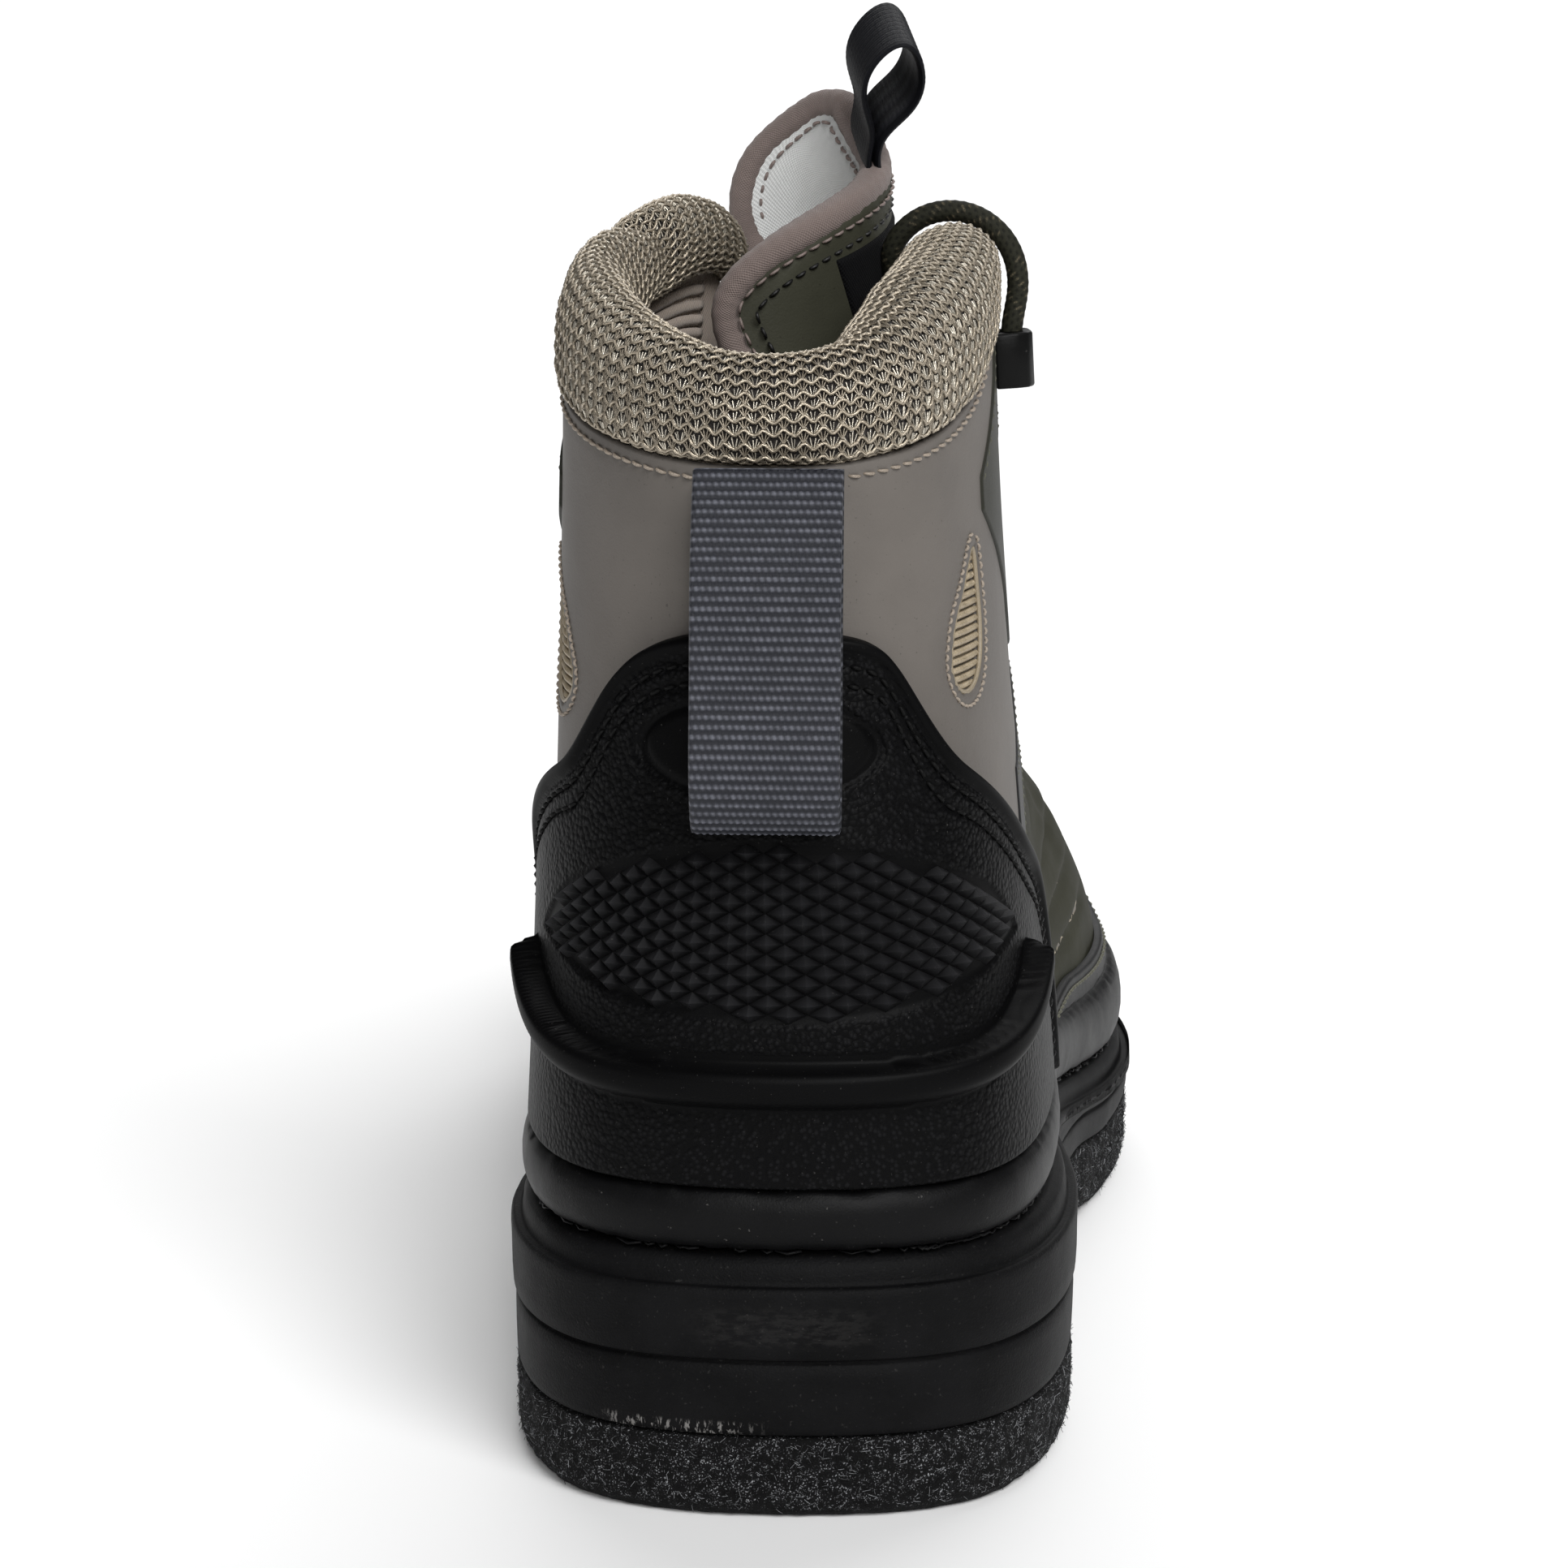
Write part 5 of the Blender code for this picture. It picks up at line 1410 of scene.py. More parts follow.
def tongue_sheet(rows, across):
    """Grid over the tongue's outer face, from its seam up and from the medial to the lateral wing."""
    folds = np.array(TONGUE_FOLDS)
    knots = walked(folds[:, :3])
    x, y, z, lateral, medial, radius, twist = spline(knots, folds, rows * knots[-1]).T
    fine = np.linspace(0.0, knots[-1], 400)
    middle = np.column_stack([x, y, z])
    line = spline(knots, folds[:, :3], fine)
    slope = unit(np.gradient(line, axis=0))
    along = unit(read_off(slope, fine, rows * knots[-1]))
    front = unit(np.cross(along, (1.0, 0.0, 0.0)))
    side = np.cross(front, along)
    turn = np.radians(twist)[:, None]
    side, front = side * np.cos(turn) - front * np.sin(turn), front * np.cos(turn) + side * np.sin(turn)
    share = np.broadcast_to(across, (len(rows), np.shape(across)[-1]))
    angle = ((share * lateral[:, None] - (1 - share) * medial[:, None]) / radius[:, None])[..., None]
    bend = side[:, None] * np.sin(angle) - front[:, None] * (1 - np.cos(angle))
    return middle[:, None] + radius[:, None, None] * bend


def tongue_skin(rows, across):
    """Points and outward normals over the tongue's outer face."""
    step = 1e-3
    ahead, behind = np.minimum(rows + step, 1.0), np.maximum(rows - step, 0.0)
    along = tongue_sheet(ahead, across) - tongue_sheet(behind, across)
    aside = tongue_sheet(rows, np.add(across, step)) - tongue_sheet(rows, np.subtract(across, step))
    return tongue_sheet(rows, across), unit(np.cross(along, aside))


def make_tongue(colours):
    """Padded half pipe with a rolled binding, a cloth face inside and a patch outside."""
    rows, across = 110, 60
    up = np.linspace(0.0, 0.992, rows)
    width = walked_across(tongue_sheet(up, np.linspace(0.0, 1.0, 40)))[:, -1:]
    tuck = np.minimum(2.4 / width, 0.35)
    shares = tuck + (1 - 2 * tuck) * np.linspace(0.0, 1.0, across)
    grid, normal = tongue_skin(up, shares)
    aside = walked_across(grid)
    border = np.minimum(aside, aside[:, -1:] - aside)
    climb = np.cumsum(np.linalg.norm(np.diff(grid, axis=0, prepend=grid[:1]), axis=-1), axis=0)
    border = np.minimum(border, climb[-1:] - climb)
    puff = 0.6 * smooth(border / 9.0) - 0.35 * hump(border, 4.8, 0.8)
    outer = grid + normal * (puff - 0.45)[..., None]
    inner = grid - normal * (TONGUE_THICKNESS - 0.6 + 0.3 * puff)[..., None]
    lay = np.stack([aside, climb, border + 1.0], axis=-1)
    quads = grid_quads(rows, across)
    pattern = Pattern()
    pattern.add(outer, quads, lay, 0)
    pattern.add(inner, quads[:, ::-1], lay, 1)
    for near, far in ((inner[:, 0], outer[:, 0]), (inner[-1], outer[-1]), (outer[:, -1], inner[:, -1]),
                      (outer[0], inner[0])):
        strip = np.stack([near, far], axis=1)
        pattern.add(strip, grid_quads(len(strip), 2), (0, 0, 0.5), 1)
    olive = leather_finish("olive coated leather", colours.olive, 0.55, 0.15)
    inside = cloth_finish("tongue lining", colours.label, 0.7, 0.1)
    tongue = pattern.make("tongue_pad", [olive, inside], ["tongue"])
    make_tongue_trim(colours)
    make_tongue_patch(colours)


def tongue_border():
    """The tongue's edge from the medial wing over the top to the lateral wing, evenly spaced."""
    up = np.linspace(0.22, 1.0, 220)
    grid, normal = tongue_skin(up, np.linspace(0.0, 1.0, 60))
    edge = np.concatenate([grid[:, 0], grid[-1, 1:-1], grid[::-1, -1]])
    out = np.concatenate([normal[:, 0], normal[-1, 1:-1], normal[::-1, -1]])
    into = np.concatenate([grid[:, 6] - grid[:, 0], grid[-8, 1:-1] - grid[-1, 1:-1],
                           (grid[:, -7] - grid[:, -1])[::-1]])
    walk = walked(edge)
    at = np.linspace(0.0, walk[-1], 520)
    weights = np.hanning(15) / np.hanning(15).sum()
    lines = []
    for line in (edge, out, unit(into)):
        even = read_off(line, walk, at)
        padded = np.pad(even, ((7, 7), (0, 0)), mode="edge")
        lines.append(np.stack([np.convolve(padded[:, a], weights, mode="valid") for a in range(3)], axis=-1))
    edge, out, into = lines[0], unit(lines[1]), lines[2]
    along = unit(np.gradient(edge, axis=0))
    inward = unit(np.cross(along, out))
    inward *= np.sign((inward * into).sum(-1, keepdims=True))
    return edge, out, inward, at


def make_tongue_trim(colours):
    """Rolled binding round the tongue, and the rows of stitching beside it."""
    edge, out, inward, at = tongue_border()
    turn = np.linspace(0.0, 2 * math.pi, 19)[:-1]

    def squared(wave):
        return np.sign(wave) * np.abs(wave) ** 0.75

    wide = 2.45 * squared(np.cos(turn))
    high = 2.6 * squared(np.sin(turn))
    middle = edge + inward * 2.15 - out * (0.5 * TONGUE_THICKNESS - 0.1)
    ripple = 1.0 + 0.025 * np.sin(np.arange(len(edge)) * 1.9) + 0.04 * grain(edge, 4.0, 41)
    sections = (middle[:, None] + inward[:, None] * (wide * ripple[:, None])[..., None]
                + out[:, None] * (high * ripple[:, None])[..., None])
    lay = np.stack(np.broadcast_arrays(at[:, None], turn * 3.0, 0.9), axis=-1)
    trim = Pattern()
    trim.add_loft(sections, lay)
    tape = cloth_finish("mauve binding tape", colours.binding, 0.55, 0.12)
    trim.make("tongue_binding", [tape])
    seams = Pattern()
    seams.add_stitches(edge + inward * 7.2 + out * 0.05, out, WING_STITCH)
    seams.add_stitches(edge + inward * 5.2 - out * (TONGUE_THICKNESS - 0.2), -out, LABEL_STITCH, 1)
    seams.add_stitches(edge + inward * 4.4 + out * 0.35, out, BINDING_STITCH, 1)
    threads = [thread_finish("dark tongue thread", colours.black_thread),
               thread_finish("mauve thread", colours.binding)]
    seams.make("tongue_stitching", threads)


def make_tongue_patch(colours):
    """Black patch on the outer face, with a slanted edge to the lateral wing."""
    folds = np.array(TONGUE_FOLDS)
    knots = walked(folds[:, :3])
    rows, columns = 60, 34
    v = edge_steps(1.0, 0.03, rows - 8)[0][:, None]
    u = edge_steps(1.0, 0.03, columns - 8)[0][None, :]
    height = (152.0 + 38.5 * v) * (1 - u) + (152.0 + 45.5 * v) * u
    from_middle = (8.6 + 19.2 * v) * (1 - u) + -3.0 * u
    place = np.interp(height, folds[:, 2], knots / knots[-1]).ravel()
    lateral, medial = spline(knots, folds[:, 3:5], place * knots[-1]).T
    share = (from_middle.ravel() + medial) / (lateral + medial)
    spots, normal = tongue_skin(place, share[:, None])
    rise = np.minimum(np.minimum(u, 1 - u) * 28.0, np.minimum(v, 1 - v) * 40.0)
    lift = (-0.3 + 1.0 * rounded(rise, 0.8)).ravel()[:, None]
    lay = np.stack(np.broadcast_arrays(from_middle, height, rise), axis=-1)
    pattern = Pattern()
    pattern.add(spots[:, 0] + normal[:, 0] * lift, grid_quads(rows, columns), lay)
    finish = cloth_finish("black patch cloth", colours.patch, 0.6, 0.1, 0.04)
    pattern.make("tongue_patch", [finish])


def band_points(line, spacing):
    """Smooth middle line of a flat band and its normals, in the band's own plane."""
    line = smooth_line(line, spacing)
    along = unit(np.gradient(line, axis=0))
    return line, np.column_stack([-along[:, 1], along[:, 0]])


def woven_band(pattern, middle, normal, side, width, thickness, weave, columns):
    """Flat woven tape along a line, with more columns on its face than on its back."""
    walk = walked(middle)[:, None]
    points, lay = [], []
    for facing, count in ((1.0, columns), (-1.0, columns // 3)):
        share = facing * np.linspace(-0.5, 0.5, count)
        across = share[None, :] * width
        lift = weave(across, walk)
        taper = np.sqrt(np.clip(1.0 - np.abs(share * 2) ** 24, 0.0, 1.0)) * 0.5 * thickness
        out = facing * (taper + lift * (taper > 0.2))
        points.append(middle[:, None] + side * across[..., None] + normal[:, None] * out[..., None])
        lay.append(np.stack(np.broadcast_arrays(across, walk, lift / lift.max()), axis=-1))
    pattern.add_loft(np.concatenate(points, axis=1), np.concatenate(lay, axis=1))


def make_heel_strap(colours):
    line, flat_normal = band_points(STRAP_LINE, 0.36)
    zeros = np.zeros(len(line))
    middle = np.column_stack([zeros + STRAP_SIDE, line])
    normal = np.column_stack([zeros, flat_normal])

    def weave(across, walk):
        row = np.round(walk / STRAP_ROW)
        ridge = np.cos(math.pi * walk / STRAP_ROW) ** 2
        slant = 0.45 * (walk / STRAP_ROW - row)
        pick = np.cos(math.pi * (across / STRAP_YARN + 0.5 * np.mod(row, 2) + slant)) ** 2
        spots = np.stack(np.broadcast_arrays(across, walk, 0.0), axis=-1)
        uneven = 0.82 + 0.18 * grain(spots, 1.1, 51)
        return STRAP_RELIEF * ridge * (0.42 + 0.58 * pick) * uneven

    pattern = Pattern()
    side = np.array((1.0, 0.0, 0.0))
    woven_band(pattern, middle, normal, side, STRAP_WIDTH, STRAP_THICKNESS - STRAP_RELIEF, weave, 102)
    finish = webbing_finish("grey webbing", colours.webbing_gap_shade, colours.webbing, 0.45, 0.4)
    pattern.make("heel_strap", [finish], ["rear_pull_strap"])


def make_tongue_ribbon(colours):
    across_way = unit(np.cross(PULL_ALONG, PULL_LEAN))
    along_way = unit(np.array(PULL_ALONG))
    up_way = unit(np.cross(across_way, along_way))
    line, flat_normal = band_points(PULL_LINE, 0.3)
    middle = np.array(PULL_FOOT) + line[:, :1] * across_way + line[:, 1:] * up_way
    normal = flat_normal[:, :1] * across_way + flat_normal[:, 1:] * up_way

    def weave(across, walk):
        rib = np.cos(math.pi * across / RIBBON_YARN) ** 2
        pick = np.cos(math.pi * walk / RIBBON_ROW + math.pi * np.round(across / RIBBON_YARN)) ** 2
        return RIBBON_RELIEF * rib * (0.55 + 0.45 * pick)

    pattern = Pattern()
    woven_band(pattern, middle, normal, along_way, PULL_WIDTH, PULL_THICKNESS - 0.15, weave, 54)
    # The ribbon's low tone is painted shade between its ribs and picks
    finish = webbing_finish("black ribbon", shade(colours.ribbon, 0.4), colours.ribbon, 0.42, 0.12)
    pattern.make("tongue_ribbon", [finish], ["tongue_pull_loop"])


def throat_spot(climb, lateral, setback):
    """Point and normal on the upper beside the throat, at a share of the climb up the shaft."""
    first, last = (WAIST_LATERAL, TOE_TIP) if lateral else (TOE_TIP, WAIST_MEDIAL)
    around = np.linspace(KNOTS[first], KNOTS[last], 400)
    height = INSTEP_HEIGHT + climb * (SHAFT_HEIGHT - INSTEP_HEIGHT)
    top = upper_points(around, np.array([1.0]))[:, 0]
    spot = around[[np.argmin(np.abs(top[:, 2] - height))]]
    points, normals = skin_line(spot, up_below_top(spot, setback))
    return points[0], normals[0]


def shaft_spot(lateral):
    """Point and normal on the side of the shaft, at the hook's height and distance from the heel."""
    around = np.linspace(0.0, 0.5, 400) if lateral else np.linspace(1.0, 0.5, 400)
    points, normals = skin_line(around, up_at_height(around, np.full(len(around), HOOK_HEIGHT)))
    nearest = np.argmin(np.abs(points[:, 1] - HOOK_FROM_HEEL) + np.abs(points[:, 2] - HOOK_HEIGHT))
    return points[nearest], normals[nearest]


def braided_tube(pattern, route, radius, sides, strands):
    """Round braid along a route: two families of strands wound against each other."""
    along = unit(np.gradient(route, axis=0))
    up = np.cross(along[0], (1.0, 0.0, 0.0))
    ups = []
    for heading in along:
        up = unit(up - heading * (up @ heading))
        ups.append(up)
    ups = np.array(ups)
    sides_way = np.cross(along, ups)
    walk = walked(route)[:, None]
    turn = (np.arange(sides) * 2 * math.pi / sides)[None, :]
    lead = 2 * math.pi / (4.4 * radius)
    one = np.cos(strands * (turn + lead * walk))
    two = np.cos(strands * (turn - lead * walk) + math.pi)
    proud = np.maximum(one, two) * 0.5 + 0.5
    fleck = ((one > 0.8) & (np.cos(3 * turn - 2 * lead * walk) > 0.6)).astype(float)
    reach = radius * (0.93 + 0.07 * proud)
    points = (route[:, None] + ups[:, None] * (np.cos(turn) * reach)[..., None]
              - sides_way[:, None] * (np.sin(turn) * reach)[..., None])
    lay = np.stack([proud, np.zeros(proud.shape), fleck], axis=-1)
    pattern.add_loft(points[:, ::-1], lay[:, ::-1])


def make_lace_run(colours):
    """The free run of the lace, over the collar to the lateral hook."""
    route = smooth_line(LACE_RUN, 0.32)
    pattern = Pattern()
    braided_tube(pattern, route, LACE_RADIUS, 24, 6)
    lace = pattern.make("lace_to_hook", [lace_finish(colours)], ["lace_run"])
    path = to_model(smooth_line(LACE_RUN, 3.0))


def eyelet_spots():
    sides = {}
    for side, lateral in (("lateral", True), ("medial", False)):
        sides[side] = [throat_spot(climb, lateral, EYELET_SETBACK) for climb in EYELET_CLIMBS]
    return sides


def make_lacing(colours):
    """Lace that zigzags up the throat: under each edge, out through its eyelet and over the tongue."""
    spots = eyelet_spots()
    pattern = Pattern()
    for start in ("lateral", "medial"):
        side = start
        route = []
        if start == "lateral":
            spot, normal = spots["medial"][0]
            route += [spot - normal * 1.5, spot + normal * 4.2]
        for number in range(len(EYELET_CLIMBS)):
            spot, normal = spots[side][number]
            inward = -1.0 if side == "lateral" else 1.0
            toward = unit(np.array((inward * (1 - abs(normal[0]) * 0.5), 0.0, -0.2)))
            under = [spot + toward * 9.5 - normal * 3.2, spot + toward * 3.0 - normal * 5.6,
                     spot - normal * 1.8, spot + normal * 3.9 + toward * 1.2]
            if route:
                middle = 0.5 * (route[-1] + under[0]) + np.array((0.0, 2.5, 4.5))
                route.append(middle)
            route += under
            side = "medial" if side == "lateral" else "lateral"
        if start == "lateral":
            run = np.array(LACE_RUN[:2])
            back = unit(run[0] - run[1])
            meet = [run[0] + back * 8.0, run[0]]
            route += [0.5 * (route[-1] + meet[0]) + np.array((0.0, 8.0, 4.0))] + meet
        braided_tube(pattern, smooth_line(route, 0.6), LACE_RADIUS, 16, 4)
    pattern.make("lace_zigzag", [lace_finish(colours)], ["lace_crossings"])


def lathe(profile, foot, axis, count):
    """Rings of a turned shape: profile of radius and height, on a foot point along an axis."""
    axis = unit(np.asarray(axis, float))
    side = unit(np.cross(axis, (0.3, 0.2, 0.93)))
    other = np.cross(axis, side)
    turn = np.arange(count) * 2 * math.pi / count
    circle = np.cos(turn)[:, None] * side + np.sin(turn)[:, None] * other
    return np.array([foot + radius * circle + height * axis for radius, height in profile])


def make_eyelets(colours):
    finish = enamel_finish("black eyelet enamel", colours.enamel)
    for side, spots in eyelet_spots().items():
        for number, (spot, normal) in enumerate(spots, 1):
            pattern = Pattern()
            pattern.add_loft(lathe(EYELET_PROFILE, spot + normal * 0.4, normal, 40), caps=False)
            name = f"eyelet_{side}_{number}"
            pattern.make(f"{name}_ring", [finish], [name])


def make_hooks(colours):
    """Bent steel lace hooks with a riveted back."""
    finish = enamel_finish("black hook enamel", colours.enamel)
    loop = np.array(HOOK_OUTLINE)
    corner = []
    for i in range(len(loop)):
        before, here, after = loop[i - 1], loop[i], loop[(i + 1) % len(loop)]
        cut = min(0.45, 0.3 * np.linalg.norm(here - before), 0.3 * np.linalg.norm(after - here))
        enter = here + unit(before - here) * cut
        leave = here + unit(after - here) * cut
        for t in (0.0, 0.5, 1.0):
            corner.append((1 - t) ** 2 * enter + 2 * t * (1 - t) * here + t * t * leave)
    outline = np.array(corner)
    along = unit(np.roll(outline, -1, axis=0) - np.roll(outline, 1, axis=0))
    outward = np.column_stack([along[:, 1], -along[:, 0]])
    for side, lateral in (("lateral", True), ("medial", False)):
        spot, normal = shaft_spot(lateral)
        foot = spot + normal * 1.5 * GAP
        forward = unit(np.array((0.0, 1.0, 0.0)) - normal * normal[1])
        rise = np.cross(normal, forward)
        sections = []
        half = 0.5 * HOOK_WIDTH
        for place, inset in ((-half, 0.32), (-half + 0.12, 0.12), (-half + 0.4, 0.0), (half - 0.4, 0.0),
                             (half - 0.12, 0.12), (half, 0.32)):
            ring = outline - outward * inset
            sections.append(foot + ring[:, :1] * normal + ring[:, 1:] * forward + place * rise)
        sections = np.array(sections)
        pattern = Pattern()
        pattern.add(sections, grid_quads(len(sections), len(outline), wrap=True))
        for end, order in ((0, slice(None, None, -1)), (len(sections) - 1, slice(None))):
            pattern.add(sections[end], [list(range(len(outline)))[order]])
        rivet = lathe(RIVET_PROFILE, foot + normal * 0.2 + forward * 2.2, normal, 24)
        pattern.add_loft(rivet, caps=False)
        pattern.make(f"hook_{side}_steel", [finish], [f"hook_{side}"])


def make_front_panels(colours):
    """Vamp, eyestay, toe guard and side panels over the front of the upper."""
    seams = Pattern()
    make_vamp(colours)
    make_eyestay(colours, seams)
    make_toe_guard(colours, seams)
    make_side_panels(colours, seams)
    seams.make("front_stitching", [thread_finish("olive thread", colours.olive_thread)])


def make_vamp(colours):
    """Olive front of the upper, creased over the toes and folded along the sides."""
    reach = columns_between(VAMP_REACH, GIRTH - VAMP_REACH, 210, 0.8)
    around = share_round(reach)
    low = up_at_height(around, upper_foot(around)[:, 2] + PANEL_FOOT)
    panel = Panel(reach, low, np.full(len(reach), PANEL_TOP), 70, 0.7, heights=False)
    crease = 0.55 * grain(panel.skin * (0.6, 1.0, 0.35), 9.0, 31) * smooth((panel.skin[..., 1] - 120) / 60)
    crease += 0.25 * grain(panel.skin, 14.0, 32) + 0.06 * grain(panel.skin, 4.0, 33)
    from_heel = np.minimum(panel.reach, GIRTH - panel.reach)[:, None]
    folded = smooth((from_heel - VAMP_REACH) / 12.0) * smooth((FOLD_END - from_heel) / 26.0)
    for level in FOLD_HEIGHTS:
        across = panel.height - level - FOLD_CLIMB * (from_heel - VAMP_REACH)
        crease += folded * (0.6 * hump(across, 3.0, 2.0) - 1.1 * hump(across, 0.0, 1.5))
    pattern = Pattern()
    panel.add_to(pattern, BASE_LIFT, VAMP_LIFT, crease)
    finish = leather_finish("olive vamp leather", shade(colours.olive, 0.8), 0.6, 0.06)
    pattern.make("vamp_panel", [finish])


def make_eyestay(colours, seams):
    """Dark edge of the throat, with two rows of stitching."""
    reach = columns_between(EYESTAY_REACH[0], GIRTH - EYESTAY_REACH[1], 280, 0.8)
    around = share_round(reach)
    setback = 17.0 + 6.0 * smooth((120.0 - np.minimum(reach, GIRTH - reach)) / 14.0)
    low = up_below_top(around, setback)
    panel = Panel(reach, low, np.full(len(reach), PANEL_TOP), 34, 0.7, heights=False)
    pattern = Pattern()
    panel.add_to(pattern, BASE_LIFT, EYESTAY_LIFT, 0.05 * grain(panel.skin, 8.0, 35))
    finish = leather_finish("dark olive eyestay", colours.dark_olive, 0.5)
    pattern.make("eyestay", [finish])
    for offset in (1.9, 4.0):
        up = up_below_top(around[4:-4], setback[4:-4] - offset)
        line, out = skin_line(around[4:-4], up, 0.22)
        seams.add_stitches(line, out, FRONT_STITCH)


def make_toe_guard(colours, seams):
    """Rubber guard round the toe, above the rand."""
    reach = columns_between(GUARD_REACH[0], GIRTH - GUARD_REACH[1], 300, 0.9)
    foot = upper_foot(share_round(reach))
    low = foot[:, 2] + 5.0
    toe = smooth((foot[:, 1] - 215.0) / 70.0)
    high = foot[:, 2] + table(RAND_HEIGHT, foot[:, 1] / LENGTH) + 6.0 + 17.0 * toe
    ends = np.minimum(reach - reach[0], reach[-1] - reach)
    high = low + (high - low) * (0.55 + 0.45 * smooth(ends / 40.0))
    panel = Panel(reach, low, high, 24, 0.9)
    pattern = Pattern()
    panel.add_to(pattern, -0.3, GUARD_LIFT, 0.05 * grain(panel.skin, 7.0, 37))
    pattern.make("toe_guard", [rand_finish(colours)])
    line, out = on_upper(reach[5:-5], high[5:-5] - 2.2, GUARD_LIFT)
    seams.add_stitches(line, out, GUARD_STITCH)


def side_columns(ends, count, lateral):
    """Columns of a panel on one side: their places round the boot and their distances from the heel."""
    from_heel = columns_between(*ends, count, 0.8)
    if lateral:
        return from_heel, from_heel
    from_heel = from_heel[::-1]
    return GIRTH - from_heel, from_heel


def make_side_panels(colours, seams):
    """On each side, a strap over the ankle and a wing under the hook."""
    straps = Pattern()
    wings = Pattern()
    for lateral in (True, False):
        reach, from_heel = side_columns(ANKLE_REACH, 90, lateral)
        rise = smooth((from_heel - ANKLE_REACH[0]) / (ANKLE_REACH[1] - ANKLE_REACH[0]))
        low = 84.0 + 16.0 * rise
        high = 108.0 + 14.0 * rise
        panel = Panel(reach, low, high, 30, 0.8)
        panel.add_to(straps, BASE_LIFT, STRAP_LIFT, 0.06 * grain(panel.skin, 8.0, 39))
        for edge in (low + 2.0, high - 2.0):
            line, out = on_upper(reach[5:-5], edge[5:-5], 0.1)
            seams.add_stitches(line, out, FRONT_STITCH)
        reach, from_heel = side_columns(WING_REACH, 70, lateral)
        low = 152.0 - 0.6 * (from_heel - WING_REACH[0])
        high = np.minimum(157.5 + 0.64 * (from_heel - WING_REACH[0]), SHAFT_HEIGHT - 2.0)
        panel = Panel(reach, low, high, 30, 0.8)
        panel.add_to(wings, BASE_LIFT, WING_LIFT, 0.05 * grain(panel.skin, 8.0, 40))
        line, out = on_upper(reach[5:-5], high[5:-5] - 2.0, 0.12)
        seams.add_stitches(line, out, FRONT_STITCH)
    wings.make("hook_wings", [leather_finish("dark olive wings", colours.dark_olive, 0.5)])
    leather = leather_finish("black side leather", colours.side_black, 0.5)
    straps.make("ankle_straps", [leather])


def make_stage(sizes, colours):
    """Pale floor, soft studio light and the camera at the photograph's angle."""
    ring = np.linspace(0.0, 2 * math.pi, 65)[:-1]
    circle = np.column_stack([np.cos(ring), np.sin(ring), np.zeros(64)])
    rings = np.array([circle * size for size in FLOOR_RINGS])
    mesh = bpy.data.meshes.new("studio_floor")
    quads = np.concatenate([grid_quads(4, 64, wrap=True), cap_quads(0, 64)])
    mesh.from_pydata(rings.reshape(-1, 3).tolist(), [], quads.tolist())
    mesh.materials.append(floor_finish(colours))
    floor = bpy.data.objects.new("studio_floor", mesh)
    bpy.context.scene.collection.objects.link(floor)
    world = bpy.data.worlds.new("studio_air")
    world.use_nodes = True
    air = world.node_tree.nodes["Background"]
    air.inputs["Color"].default_value = (1.0, 1.0, 1.0, 1.0)
    air.inputs["Strength"].default_value = sizes.air_light
    bpy.context.scene.world = world
    for name, toward, spread, share in LAMPS:
        lamp = bpy.data.lights.new(name, "SUN")
        lamp.angle = math.radians(spread)
        lamp.energy = share * sizes.key_light
        light = bpy.data.objects.new(name, lamp)
        light.location = toward
        light.rotation_euler = Vector(toward).to_track_quat("Z", "Y").to_euler()
        bpy.context.scene.collection.objects.link(light)
    bpy.context.scene.view_settings.view_transform = "Standard"
    lens = bpy.data.cameras.new("photo_camera")
    lens.lens = CAMERA_LENS
    lens.sensor_width = CAMERA_SENSOR
    lens.clip_end = 100.0
    camera = bpy.data.objects.new("photo_camera", lens)
    camera.location = to_model(CAMERA_AT)[0]
    yaw = math.radians(CAMERA_YAW)
    pitch = math.radians(CAMERA_PITCH)
    forward = Vector((-math.sin(yaw) * math.cos(pitch), math.cos(yaw) * math.cos(pitch), -math.sin(pitch)))
    camera.rotation_euler = forward.to_track_quat("-Z", "Y").to_euler()
    bpy.context.scene.collection.objects.link(camera)
    bpy.context.scene.camera = camera


def size_property(name, description, default, **more):
    return bpy.props.FloatProperty(name=name, description=description, default=default, min=0.0, **more)


def count_property(name, description, default, low, high):
    return bpy.props.IntProperty(name=name, description=description, default=default, min=low, max=high)


def colour_property(name, description, default):
    return bpy.props.FloatVectorProperty(name=name, description=description, default=default, subtype="COLOR",
                                         size=3, min=0.0, max=1.0)


class BootSizes(bpy.types.PropertyGroup):
    """Sizes and amounts that a user would change."""
    knit_pitch: size_property("Knit pitch", "Width of one zigzag of the collar's knit", 2.85 * MM,
                              unit="LENGTH")
    knit_rows: count_property("Knit rows", "Rows of yarn round the collar's roll", 27, 8, 30)
    felt_fibres: count_property("Felt fibres", "Loose fibres round the felt", 6000, 0, 12000)
    key_light: size_property("Key light", "Strength of the main light", 2.45)
    air_light: size_property("Air light", "Strength of the light from all sides", 0.12)


